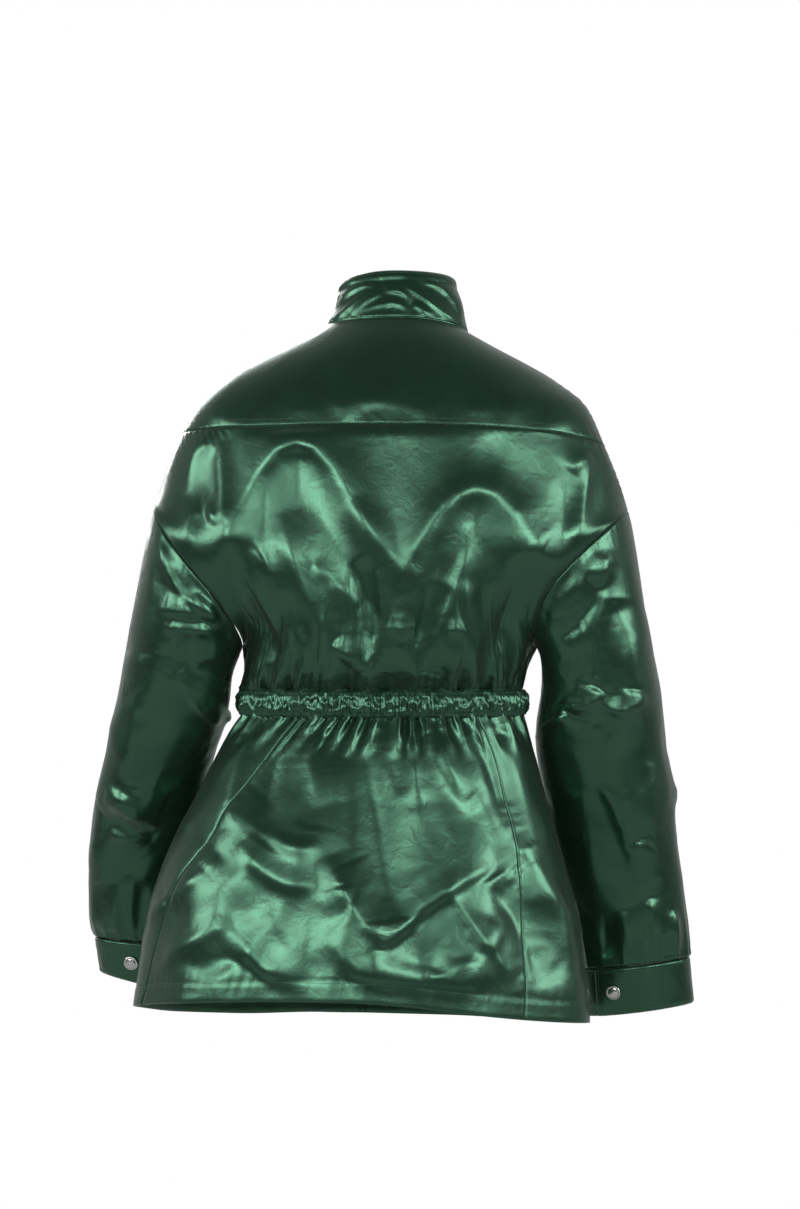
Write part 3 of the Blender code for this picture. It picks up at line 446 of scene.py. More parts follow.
SKIRT_CREASES = folds(
    (26, -420, 8, -510, -2, -596, 18, -4.0),
    (60, -526, 36, -574, 0, -616, 9, 4.4),
    (10, -614, -42, -566, -102, -534, 9, 4.0),
    (64, -588, 20, -642, -44, -640, 11, 2.4),
    (-30, -644, -72, -628, -102, -590, 9, 2.8),
    (148, -514, 112, -548, 72, -552, 9, 3.6),
    (122, -494, 96, -518, 70, -510, 7, 2.6),
    (247, -596, 209, -566, 168, -528, 8, 4.0),
    (230, -644, 196, -612, 154, -592, 8, 3.4),
    (156, -596, 116, -640, 78, -652, 9, 3.2),
    (220, -690, 190, -664, 150, -660, 8, 2.4),
    (-120, -510, -160, -574, -182, -642, 10, 4.4),
    (-98, -556, -128, -600, -148, -656, 9, -3.2),
    (-54, -556, -84, -600, -120, -646, 8, 3.0),
    (141, -412, 154, -450, 166, -498, 8, 3.4),
    (108, -410, 120, -452, 130, -492, 8, -2.8),
    (70, -408, 76, -440, 68, -478, 8, 2.6),
    (-44, -408, -58, -446, -80, -486, 8, 3.0),
    (-80, -408, -100, -450, -114, -504, 8, -3.0),
    (-108, -410, -126, -460, -142, -526, 9, 3.2),
    (-16, -406, -22, -440, -24, -474, 6, 2.4),
    (46, -652, 20, -676, -16, -672, 8, 2.4),
)
SLEEVE_CREASES = {
    1: folds(
        (227, -208, 208, -266, 156, -304, 6.3, 2.6),
        (220, -230, 196, -282, 160, -316, 6.3, -2.2),
        (230, -288, 200, -290, 170, -296, 5.6, 2.6),
        (226, -304, 196, -308, 164, -308, 5.6, 2.4),
        (197, -338, 178, -334, 160, -328, 5.6, 2.2),
        (300, -463, 270, -478, 236, -508, 7, 2.4),
        (290, -480, 262, -492, 250, -512, 6.3, 2.4),
        (286, -510, 268, -520, 244, -518, 6.3, 2.2),
        (256, -330, 262, -420, 268, -470, 9.8, 1.8),
        (240, -560, 246, -590, 252, -622, 5.6, 2.0),
        (224, -548, 226, -590, 232, -628, 5.6, 2.0),
        (262, -556, 266, -590, 270, -622, 5.6, 1.8),
        (284, -566, 282, -596, 286, -620, 5.6, 2.0),
        (236, -530, 250, -556, 280, -566, 7, 1.8),
        (206, -356, 190, -384, 172, -402, 6.3, 2.2),
    ),
    -1: folds(
        (-153, -293, -176, -290, -198, -262, 6.3, 2.6),
        (-198, -262, -206, -250, -214, -228, 6.3, 2.2),
        (-164, -318, -190, -292, -210, -250, 6.3, -2.2),
        (-168, -378, -188, -384, -208, -368, 6.3, 2.6),
        (-208, -378, -228, -388, -248, -370, 6.3, 2.4),
        (-220, -278, -208, -330, -198, -368, 7, -2.4),
        (-160, -392, -168, -396, -176, -390, 6.3, 2.4),
        (-226, -290, -240, -350, -252, -420, 9.8, 1.8),
        (-206, -460, -230, -500, -252, -580, 7, 2.2),
        (-190, -470, -200, -540, -210, -600, 7, 1.8),
        (-232, -590, -236, -610, -238, -638, 5.6, 2.2),
        (-214, -596, -216, -620, -216, -640, 5.6, -2.0),
        (-258, -578, -262, -600, -263, -640, 5.6, 2.4),
        (-284, -592, -284, -612, -286, -636, 5.6, 2.0),
        (-262, -440, -256, -480, -262, -512, 7, 1.8),
    ),
}
COLLAR_CREASES = folds(
    (67, -8, 40, 13, 14, 31, 2.6, 2.2),
    (14, 31, 34, 31, 58, 12, 2.8, 2.0),
    (40, 4, 24, 17, 8, 26, 2.6, 2.2),
    (8, 26, -9, 26, -20, 14, 2.8, 2.2),
    (-20, 14, -29, 9, -40, -1, 2.8, 2.0),
    (38, 5, 0, 15, -16, 5, 2.6, 1.8),
    (-7, 35, -37, 16, -68, -8, 2.6, 2.2),
    (-10, 36, -48, 31, -71, -6, 3.0, 2.2),
    (-60, 27, -66, 16, -69, 3, 3.4, 1.8),
)

# Small creases from a seeded draw: how many, the box's low and high corners (x, z), how they lean in
# degrees and how much that varies, their length, half width and height. The skirt's begin with a seed
BODICE_SMALL_CREASES = (12, (-190, -352), (190, -280), 76, 22, 50, 5.0, 1.0)
SKIRT_SMALL_CREASES = (
    (170, 14, (-190, -690), (250, -560), 25, 45, 80, 6.5, 1.8),
    (171, 9, (-190, -700), (250, -540), -30, 35, 70, 5.0, 1.5),
    (172, 8, (-170, -500), (220, -430), 78, 18, 60, 6.5, 1.2),
    (173, 10, (100, -700), (256, -480), 52, 16, 90, 6.0, 1.8),
    (174, 8, (-199, -700), (-90, -500), -58, 18, 80, 6.0, 1.7),
)
# The sleeves' own: a number that is added to the seed, the lowest and highest z, the lean, how many
SLEEVE_SMALL_CREASES = ((0, -640, -180, 62, 9), (1, -420, -260, 15, 6), (2, -560, -450, 12, 6))


def smooth(table, name, at, key="v"):
    """Cubic curve through one column of a table, read at the given keys."""
    knots, values = table[key], table[name]
    slopes = np.gradient(values, knots)
    i = np.clip(np.searchsorted(knots, at, side="right") - 1, 0, len(knots) - 2)
    gap = knots[i + 1] - knots[i]
    t = (at - knots[i]) / gap
    rise = values[i + 1] - values[i]
    first, last = slopes[i] * gap - rise, rise - slopes[i + 1] * gap
    return values[i] + rise * t + t * (1 - t) * (first * (1 - t) + last * t)


def ease(low, high, at):
    """Rises smoothly from 0 at low to 1 at high."""
    t = np.clip((at - low) / (high - low), 0, 1)
    return t * t * (3 - 2 * t)


def columns_at(table, names, at, key):
    """Several columns of a table, each as a smooth curve."""
    return [smooth(table, name, at, key) for name in names.split()]


def bump(away, width, power=2):
    """1 where away is 0, fading to nothing over about twice the width."""
    return np.exp(-((away / width) ** power))


def unit(vectors):
    """The same vectors at unit length."""
    return vectors / np.linalg.norm(vectors, axis=-1, keepdims=True)


def near_curve(x, z, curve, steps):
    """How (x, z) lies to a curve through three places, which is cut into straight steps.

    Returns the distance, the place along the curve from 0 to 1, the side, and the height over it.
    """
    x1, z1, x2, z2, x3, z3 = curve
    bend_x, bend_z = 2 * x2 - (x1 + x3) / 2, 2 * z2 - (z1 + z3) / 2
    t = np.linspace(0, 1, steps)
    line_x = (1 - t) ** 2 * x1 + 2 * t * (1 - t) * bend_x + t * t * x3
    line_z = (1 - t) ** 2 * z1 + 2 * t * (1 - t) * bend_z + t * t * z3
    nearest, place = np.full_like(x, np.inf), np.zeros_like(x)
    turn, over = np.zeros_like(x), np.zeros_like(x)
    for k in range(steps - 1):
        run_x, run_z = line_x[k + 1] - line_x[k], line_z[k + 1] - line_z[k]
        share = ((x - line_x[k]) * run_x + (z - line_z[k]) * run_z) / (run_x**2 + run_z**2 + 1e-9)
        share = np.clip(share, 0, 1)
        off_x, off_z = x - line_x[k] - share * run_x, z - line_z[k] - share * run_z
        away = np.hypot(off_x, off_z)
        closer = away < nearest
        place = np.where(closer, (k + share) / (steps - 1), place)
        turn = np.where(closer, off_x * run_z - off_z * run_x, turn)
        over = np.where(closer, off_z, over)
        nearest = np.where(closer, away, nearest)
    return nearest, place, turn, over


def fold_height(x, z, table):
    """Height of the solids' folds, lower and wider here than in the solids, faded at both ends."""
    total = np.zeros_like(x)
    for *curve, width, height in zip(*table.values()):
        nearest, place, _, _ = near_curve(x, z, curve, 10)
        fade = np.sqrt(np.clip(4 * place * (1 - place), 0, 1))
        total += FOLD_SHARE * height * fade * bump(nearest, FOLD_SPREAD * width)
    return total


def gather_wave(place, count, uneven=0.9):
    """Soft waves along an edge, count of them for each unit of place, unevenly spaced."""
    phase = 2 * math.pi * count * place
    drift = uneven * np.sin(phase * 0.23 + 0.8) + 0.6 * uneven * np.sin(phase * 0.411 + 2.1)
    size = 0.75 + 0.25 * np.sin(phase * 0.31 + 1.7)
    return size * np.sin(phase + drift)


def grid_normals(points, closed=False):
    """Unit normals of a grid of points (rows, columns, xyz), to one side of it."""
    down = np.gradient(points, axis=0)
    if closed:
        across = (np.roll(points, -1, axis=1) - np.roll(points, 1, axis=1)) / 2
    else:
        across = np.gradient(points, axis=1)
    return unit(np.cross(across, down))


def armhole_bow(t, side):
    """Steps in x and z that bend the flat armhole ring into its seam line. t is 0 at its top."""
    name = "left" if side > 0 else "right"
    share = np.degrees(np.where(t > math.pi, 2 * math.pi - t, t))
    size = smooth(ARMHOLE_BOW, name, share, "angle") * np.where(t > math.pi, 0.5, 1.0)
    fall_x = abs(SHOULDER[name + "_x"][-1] - SIDE_SEAM[name + "_x"][0])
    fall_z = SHOULDER[name + "_z"][-1] - SIDE_SEAM[name + "_z"][0]
    length = math.hypot(fall_x, fall_z)
    return side * size * fall_z / length, -size * fall_x / length


def bodice_edge(v, side, half):
    """The bodice's side: the shoulder seam, then half of the armhole, then the side seam."""
    name = "left" if side > 0 else "right"
    top_x, top_z = SHOULDER[name + "_x"][-1], SHOULDER[name + "_z"][-1]
    under_x, under_z = SIDE_SEAM[name + "_x"][0], SIDE_SEAM[name + "_z"][0]
    t = math.pi * (v - V_TOP) / (V_UNDER - V_TOP)
    t = np.clip(t, 0, math.pi)
    share = (1 - np.cos(t)) / 2
    bow_x, bow_z = armhole_bow(t if half > 0 else 2 * math.pi - t, side)
    arm = (
        top_x + (under_x - top_x) * share + bow_x,
        half * ARMHOLE_DEPTH[half] * np.sin(t),
        top_z + (under_z - top_z) * share + bow_z,
    )
    above = [smooth(SHOULDER, c, v) for c in (name + "_x", "y", name + "_z")]
    below = [smooth(SIDE_SEAM, c, v) for c in (name + "_x", "y", name + "_z")]
    return [np.where(v < V_TOP, a, np.where(v > V_UNDER, b, m)) for a, m, b in zip(above, arm, below)]


def bodice(u, v, half):
    """The bodice's smooth form.

    u runs from -1, the wearer's right, to 1, the left. half is 1 for the back and -1 for the front.
    """
    name = "back" if half > 0 else "front"
    left, right = bodice_edge(v, 1, half), bodice_edge(v, -1, half)
    edge_x, edge_y, edge_z = (np.where(u >= 0, a, b) for a, b in zip(left, right))
    turn = np.radians(smooth(BODICE_CENTRE, "turn", v))
    angle = np.abs(u) * turn
    across = np.sin(angle) / np.sin(turn)
    along = (np.cos(angle) - np.cos(turn)) / (1 - np.cos(turn))
    centre_x = smooth(BODICE_CENTRE, "x", v)
    x = centre_x + (edge_x - centre_x) * across
    y = edge_y + (smooth(BODICE_CENTRE, name + "_y", v) - edge_y) * along
    bend = smooth(BODICE_CENTRE, "z_bend", v)
    z = edge_z + (smooth(BODICE_CENTRE, name + "_z", v) - edge_z) * np.clip(along, 0, 1) ** bend
    return np.stack([x, y, z], axis=-1)


def bodice_cloth(u, v, half):
    """The bodice with its folds and the gathers that the elastic makes."""
    base = bodice(u, v, half)
    normal = half * grid_normals(base)
    x, z = base[..., 0], base[..., 2]
    inside = (1 - ease(0.86, 1.0, np.abs(u))) * ease(V_YOKE, V_YOKE + 0.12, v)
    inside = inside * (1 - ease(3.45, V_WAIST, v))
    if half < 0:
        inside = inside * ease(0.09, 0.2, np.abs(u))
    folds = fold_height(x, z, BODICE_BACK_FOLDS if half > 0 else BODICE_FRONT_FOLDS)
    count = BACK_GATHERS if half > 0 else FRONT_GATHERS
    gathers = 3.6 * gather_wave((u + 1) / 2, count) * ease(2.85, V_WAIST, v)
    gathers = gathers * (1 - ease(0.9, 1.0, np.abs(u)))
    if half < 0:
        gathers = gathers * ease(0.12, 0.22, np.abs(u))
    outward = unit(normal * [1, 1, 0.0])
    return base + normal * (folds * inside)[..., None] + outward * gathers[..., None]


def skirt(angle, s):
    """The skirt's smooth form. angle is 0 at the wearer's left, 90 at the centre back, 270 in front."""
    a = np.radians(angle)
    left, right, back, front = columns_at(SKIRT, "left_x right_x back_y front_y", s, "s")
    x = (left + right) / 2 + (left - right) / 2 * np.cos(a)
    y = np.where(np.sin(a) >= 0, back, -front) * np.sin(a)
    hem = smooth(HEM_Z, "z", (angle + 90) % 360 - 90, "angle")
    z = WAIST_BOTTOM_Z + (hem - WAIST_BOTTOM_Z) * s
    return np.stack([x, y, z], axis=-1)


def skirt_cloth(angle, s, gather):
    """The skirt with its flare folds and its largest wrinkles. gather counts the gathers along its top."""
    base = skirt(angle, s)
    normal = -grid_normals(base)
    x, z = base[..., 0], base[..., 2]
    back = ease(-0.1, 0.35, np.sin(np.radians(angle)))
    front = ease(-0.1, 0.35, -np.sin(np.radians(angle))) * ease(4, 12, np.abs(angle - 270))
    front = front * ease(4, 12, np.abs(angle + 90))
    folds = fold_height(x, z, SKIRT_BACK_FOLDS) * back + fold_height(x, z, SKIRT_FRONT_FOLDS) * front
    plain_front = ease(4, 14, np.abs(angle - 270)) * ease(4, 14, np.abs(angle + 90))
    gathers = 3.8 * gather_wave(gather, 1) * (1 - ease(0.0, 0.15, s)) * plain_front
    for name in ("left", "right"):
        gathers = gathers * ease(0, 5, np.abs(angle - smooth(SKIRT_SEAMS, name, s, "s")))
    flare = 5.0 * gather_wave(angle / 360 + 0.13, 9, 0.5) * ease(0.25, 1.0, s) * plain_front
    outward = unit(normal * [1, 1, 0.0])
    return base + normal * (folds * ease(0.0, 0.06, s))[..., None] + outward * (gathers + flare)[..., None]


def ring_point(table, t, at, key):
    """A point on a slanted ring between an outer and an inner place. t is an angle, 0 at the outer one."""
    share = (1 - np.cos(t)) / 2
    out_x, out_z, in_x, in_z, y, depth = columns_at(table, "out_x out_z in_x in_z y depth", at, key)
    # Each sleeve's first ring is the armhole, which is a little shallower in front
    squash = 1 - (1 - ARMHOLE_DEPTH[-1] / ARMHOLE_DEPTH[1]) * (np.sin(t) < 0)
    y = y + depth * squash * np.sin(t)
    return np.stack([out_x + (in_x - out_x) * share, y, out_z + (in_z - out_z) * share], axis=-1)


def sleeve_cloth(t, s, side):
    """A sleeve with its folds, from the armhole at s = 0 to the cuff seam at s = 9."""
    base = ring_point(SLEEVE[side], t, s, "s")
    bow_x, bow_z = armhole_bow(t, side)
    fade = 1 - ease(0.0, 2.5, s)
    base = base + np.stack([bow_x * fade, 0 * t, bow_z * fade], axis=-1)
    normal = -side * grid_normals(base, closed=True)
    x, z = base[..., 0], base[..., 2]
    inside = ease(0.0, 0.5, s) * (1 - ease(8.6, 9.0, s))
    folds = fold_height(x, z, SLEEVE_BACK_FOLDS[side]) * ease(-0.05, 0.35, np.sin(t))
    folds = folds + fold_height(x, z, SLEEVE_FRONT_FOLDS[side]) * ease(-0.05, 0.35, -np.sin(t))
    return base + normal * (folds * inside)[..., None]


def collar_form(angle, h):
    """The collar's outer face. angle is 0 at the wearer's left, 90 at the back, 270 in front."""
    a = np.radians(angle)
    left, left_z, right, right_z = columns_at(COLLAR, "left_x left_z right_x right_z", h, "h")
    side_y, back_y, back_z = columns_at(COLLAR, "side_y back_y back_z", h, "h")
    front_y, front_z = columns_at(COLLAR, "front_y front_z", h, "h")
    side_z = np.where(np.cos(a) > 0, left_z, right_z)
    behind = np.sin(a) >= 0
    end_y, end_z = np.where(behind, back_y, front_y), np.where(behind, back_z, front_z)
    x = (left + right) / 2 + (left - right) / 2 * np.cos(a)
    y = side_y + (end_y - side_y) * np.abs(np.sin(a))
    z = side_z + (end_z - side_z) * np.abs(np.sin(a))
    return np.stack([x, y, z], axis=-1)


def bodice_rows(*stretches):
    """Row places down the bodice, from (start, end, steps) stretches."""
    found = [np.linspace(a, b, n + 1)[(0 if i == 0 else 1):] for i, (a, b, n) in enumerate(stretches)]
    return np.concatenate(found)


def casing_form(angle, level):
    """The waist casing without gathers: a band that bulges between its two rows of stitching."""
    waist = skirt(angle, np.zeros_like(angle))
    a = np.radians(angle)
    outward = np.stack([np.cos(a), np.sin(a), 0 * a], axis=-1)
    bulge = CASING_BULGE * np.sqrt(np.clip(4 * level * (1 - level), 0, 1))
    top, bottom = WAIST_TOP_Z - SEAM_GAP, WAIST_BOTTOM_Z + SEAM_GAP
    points = waist + outward * (1.2 + bulge)[..., None]
    points[..., 2] = top + (bottom - top) * level
    return points


def cuff_form(turn, h, side):
    """A cuff's outer face. turn counts degrees from its under end, and past 360 it lies on itself."""
    t = np.radians(CUFF_START_DEG[side] + turn)
    base = ring_point(CUFF[side], t, h, "h")
    ends = (ring_point(CUFF[side], place + 0.0 * t, h, "h") for place in (0, math.pi))
    centre = sum(ends) / 2
    away = unit(base - centre)
    lift = (DOUBLE_CLOTH + 0.6) * ease(300, 357, turn)
    return base + away * lift[..., None]


def front_line(offset):
    """Places down the front, offset sideways from the centre: collar, bodice, waist and skirt."""
    places = []
    for h in np.linspace(1, 0, 5):
        ring = collar_form(np.array([[270.0, 269.0]]), np.full((1, 2), h))
        degree = np.linalg.norm(ring[0, 1] - ring[0, 0])
        places.append(collar_form(np.array([[270 + offset / degree]]), np.full((1, 1), h))[0, 0])
    for v in bodice_rows(SHOULDER_ROWS, OVERARM_ROWS, ARMHOLE_ROWS, SIDE_ROWS):
        if v < 0.1:
            continue
        pair = bodice(np.array([[0.0, 0.05]]), np.full((1, 2), v), -1)
        width = np.linalg.norm(pair[0, 1] - pair[0, 0])
        places.append(bodice(np.array([[0.05 * offset / width]]), np.full((1, 1), v), -1)[0, 0])
    for s in SKIRT_ROWS:
        width = (smooth(SKIRT, "left_x", s, "s") - smooth(SKIRT, "right_x", s, "s")) / 2
        places.append(skirt(np.array([[270 + math.degrees(offset / width)]]), np.full((1, 1), s))[0, 0])
    return np.array(places)


def placket_face():
    """Three lines down the front, a little off the cloth under them."""
    offsets = np.linspace(-PLACKET_WIDTH / 2, PLACKET_WIDTH / 2, 3)
    face = np.stack([front_line(offset) for offset in offsets], axis=1)
    return face - grid_normals(face) * PLACKET_LIFT


def noise(points, size, seed):
    """Smooth noise from about -1 to 1, with bumps about size across."""
    q = points @ TURN / size + seed * 7.31
    cell = np.floor(q).astype(np.int64)
    f = q - cell
    blend = f**3 * (f * (f * 6 - 15) + 10)
    total = np.zeros(q.shape[:-1])
    for corner in range(8):
        step = np.array([corner & 1, corner >> 1 & 1, corner >> 2 & 1])
        at = cell + step
        code = at[..., 0] * 73856093 ^ at[..., 1] * 19349663 ^ at[..., 2] * 83492791 ^ seed * 2654435
        code = (code ^ (code >> 13)) * 1274126177 & 0xFFFFFFFF
        code = (code ^ (code >> 15)) * 2246822519 & 0xFFFFFFFF
        code = code ^ (code >> 16)
        turn = (code & 0xFFFF) / 65536 * 2 * math.pi
        rise = (code >> 16 & 0xFFFF) / 32768 - 1
        flat = np.sqrt(np.clip(1 - rise * rise, 0, 1))
        away = f - step
        slope = flat * (np.cos(turn) * away[..., 0] + np.sin(turn) * away[..., 1]) + rise * away[..., 2]
        total += np.where(step > 0, blend, 1 - blend).prod(axis=-1) * slope
    return 1.7 * total


def crumple(points, size, seed):
    """Sharp crests between smooth hollows, as in pressed satin, from about -0.6 to 0.4."""
    bend = np.stack([noise(points, 1.7 * size, seed + k) for k in (11, 12, 13)], axis=-1)
    moved = points + 0.55 * size * bend
    return 0.4 - 1.6 * np.sqrt(noise(moved, size, seed) ** 2 + 0.0016)


def crease_height(x, z, table, steps=9):
    """Height of many creases: a sharp crest, steeper below and on one side, fading at the ends."""
    total = np.zeros_like(x)
    for i, (*curve, width, height) in enumerate(zip(*table.values())):
        far = 9 * width
        near = (x > min(curve[::2]) - far) & (x < max(curve[::2]) + far)
        near &= (z > min(curve[1::2]) - far) & (z < max(curve[1::2]) + far)
        if not near.any():
            continue
        nearest, place, turn, over = near_curve(x[near], z[near], curve, steps)
        length = math.hypot(curve[4] - curve[0], curve[5] - curve[1]) + 1e-6
        side = np.tanh(turn / (length / (steps - 1)) / (0.5 * width))
        over = np.tanh(over / (0.5 * width))
        lean = 1.6 + 0.4 * math.sin(2.4 * i + curve[0]) * side + 0.6 * over
        spread = width * lean * (0.8 + 0.4 * place)
        fade = np.clip(4 * place * (1 - place), 0, 1) ** 0.85
        soft = np.sqrt(nearest**2 + (0.2 * width) ** 2) - 0.2 * width
        total[near] += height * fade * bump(soft, spread, 1.2)
    return total


def mirrored(table):
    """The same folds on the other side of x = 0."""
    return {name: (-column if name[0] == "x" else column) for name, column in table.items()}


def scatter(seed, count, low, high, lean, spread, length, width, height):
    """Many small creases in a box from low to high, leaning about lean degrees from level."""
    rng = np.random.default_rng(seed)
    x, z = rng.uniform(low[0], high[0], count), rng.uniform(low[1], high[1], count)
    turn = np.radians(lean + rng.normal(0, spread, count))
    half = rng.uniform(0.5, 1.0, count) * length / 2
    sag = rng.uniform(-0.35, 0.35, count) * half
    sign = np.where(rng.random(count) < 0.6, 1.0, -1.0)
    run_x, run_z = np.cos(turn), np.sin(turn)
    return {
        "x1": x - half * run_x,
        "z1": z - half * run_z,
        "x2": x - sag * run_z,
        "z2": z + sag * run_x,
        "x3": x + half * run_x,
        "z3": z + half * run_z,
        "width": width * rng.uniform(0.6, 1.4, count),
        "height": sign * height * rng.uniform(0.4, 1.2, count),
    }


def line_noise(place, size, seed):
    """The same noise along a straight line."""
    return noise(np.stack([place, 0 * place, 0 * place], axis=-1), size, seed)


def pleats(place, count, seed):
    """Narrow crests with round hollows between them, unevenly spaced, from 0 to 1."""
    drift = 1.5 * line_noise(place * 1000, 4200 / count, seed)
    size = 0.7 + 0.5 * line_noise(place * 1000, 2600 / count, seed + 5)
    return size * (1 - np.abs(np.sin(math.pi * count * place + drift))) ** 1.2


def reach(points, axis, last=False):
    """Distance over the cloth from its first or last row, axis 0, or column, axis 1."""
    step = np.linalg.norm(np.diff(points, axis=axis), axis=2)
    start = np.zeros_like(np.take(step, [0], axis=axis))
    away = np.concatenate([start, np.cumsum(step, axis=axis)], axis=axis)
    return np.take(away, [-1], axis=axis) - away if last else away


def from_edges(points, axis):
    """Distance over the cloth from the nearer of two opposite edges."""
    return np.minimum(reach(points, axis), reach(points, axis, True))


def seam_relief(away, along, seed, depth=0.9, pucker=0.8, pitch=9.0):
    """A groove at a seam, a soft roll beside it, and puckers that fade away from it."""
    line = np.stack([along, 0 * along, 0 * along + seed * 50.0], axis=-1)
    wave = np.sin(2 * math.pi * along / pitch + 5.0 * noise(line, 2.5 * pitch, seed))
    size = np.clip(0.5 + noise(line, 5 * pitch, seed + 3), 0, 1.3)
    groove = -depth * (0.3 + size) * bump(away, 1.3)
    return groove + pucker * size * wave * np.exp(-away / 8) * (1 - bump(away, 1.5))


def grid_faces(row_count, column_count, closed):
    """The faces of a grid of points, which may close round on itself."""
    r = np.arange(row_count - 1)[:, None] * column_count
    c = np.arange(column_count if closed else column_count - 1)[None, :]
    n = (c + 1) % column_count
    below = r + column_count
    return np.stack([r + c, below + c, below + n, r + n], axis=-1).reshape(-1, 4)


def make_mesh(name, points, faces, finish):
    """A smooth mesh object of points in millimetres."""
    mesh = bpy.data.meshes.new(name)
    faces = faces.tolist() if isinstance(faces, np.ndarray) else faces
    mesh.from_pydata((np.asarray(points) * MM).tolist(), [], faces)
    mesh.validate()
    mesh.shade_smooth()
    mesh.materials.append(finish)
    made = bpy.data.objects.new(name, mesh)
    bpy.context.scene.collection.objects.link(made)
    return made


def sheet_wall(name, outer, outward, thickness, finish, closed=False, inner=None):
    """A thin closed wall of cloth under a fine grid. outward is the side, 1 or -1, of grid_normals."""
    row_count, column_count = outer.shape[:2]
    normal = outward * grid_normals(outer, closed)
    if inner is None:
        inner = outer - normal * np.asarray(thickness, float).reshape(-1, 1, 1)
    outer, inner = outer.copy(), inner.copy()
    for edge in (0, -1):
        middle = (outer[edge] + inner[edge]) / 2
        outer[edge] += 0.5 * (middle - outer[edge])
        inner[edge] += 0.5 * (middle - inner[edge])
    start = row_count * column_count
    face = grid_faces(row_count, column_count, closed)
    around = np.arange(column_count if closed else column_count - 1)
    after = (around + 1) % column_count
    low = (row_count - 1) * column_count
    rims = [
        np.stack([around, after, start + after, start + around], axis=-1),
        np.stack([low + after, low + around, start + low + around, start + low + after], axis=-1),
    ]
    if not closed:
        down = np.arange(row_count - 1) * column_count
        for c, turned in ((0, False), (column_count - 1, True)):
            a, b = down + c, down + column_count + c
            end = np.stack([a, start + a, start + b, b], axis=-1)
            rims.append(end[:, ::-1] if turned else end)
    faces = np.concatenate([face, start + face[:, ::-1], *rims])
    if outward > 0:
        faces = faces[:, ::-1]
    return make_mesh(name, np.concatenate([outer.reshape(-1, 3), inner.reshape(-1, 3)]), faces, finish)


def stitches(line, normal):
    """Short raised threads along a line of places, as (points, faces)."""
    step = np.linalg.norm(np.diff(line, axis=0), axis=1)
    length = np.concatenate([[0], np.cumsum(step)])
    count = max(int(length[-1] / STITCH_PITCH), 1)
    start = (np.arange(count) + 0.15) * STITCH_PITCH
    ends = []
    for at in (start, start + STITCH_LENGTH * 0.5, start + STITCH_LENGTH):
        ends.append(np.stack([np.interp(at, length, line[:, k]) for k in range(3)], axis=-1))
    out = unit(np.stack([np.interp(start, length, normal[:, k]) for k in range(3)], axis=-1))
    along = ends[2] - ends[0]
    along = along / np.maximum(np.linalg.norm(along, axis=1, keepdims=True), 1e-9)
    side = np.cross(along, out)
    rings = []
    for place, rise, size in zip(ends, (-0.1, 0.16, -0.1), (0.6, 1.0, 0.6)):
        for a, b in ((1, 0), (0, 1), (-1, 0), (0, -1)):
            radius = size * STITCH_RADIUS
            rings.append(place + out * (rise + b * radius) + side * (a * radius))
    points = np.stack(rings, axis=1)
    faces = [(r + k, r + (k + 1) % 4, r + 4 + (k + 1) % 4, r + 4 + k) for r in (0, 4) for k in range(4)]
    faces += [(3, 2, 1, 0), (8, 9, 10, 11)]
    faces = (np.array(faces)[None] + 12 * np.arange(count)[:, None, None]).reshape(-1, 4)
    return points.reshape(-1, 3), faces


THREADS = {}


def sew(group, line, normal):
    """Adds a row of stitches to a group of threads, which becomes one piece."""
    THREADS.setdefault(group, []).append(stitches(line, normal))


def edge_line(points, normal, axis, place):
    """A line over a grid at a fractional row, axis 0, or column, axis 1."""
    low = int(math.floor(place))
    share = place - low
    high = min(low + 1, points.shape[axis] - 1)
    ends = ((np.take(grid, low, axis=axis), np.take(grid, high, axis=axis)) for grid in (points, normal))
    return [a * (1 - share) + b * share for a, b in ends]


def row_at(points, distance, axis=0, last=False):
    """The fractional row or column that lies a distance over the cloth from an edge."""
    away = reach(points, axis, last).mean(axis=1 - axis)
    index = np.arange(len(away))
    return float(np.interp(distance, away[::-1] if last else away, index[::-1] if last else index))


def sew_beside(group, points, normal, distance, axis=0, last=False):
    """Adds the row of stitches that lies a distance over the cloth from an edge."""
    sew(group, *edge_line(points, normal, axis, row_at(points, distance, axis, last)))


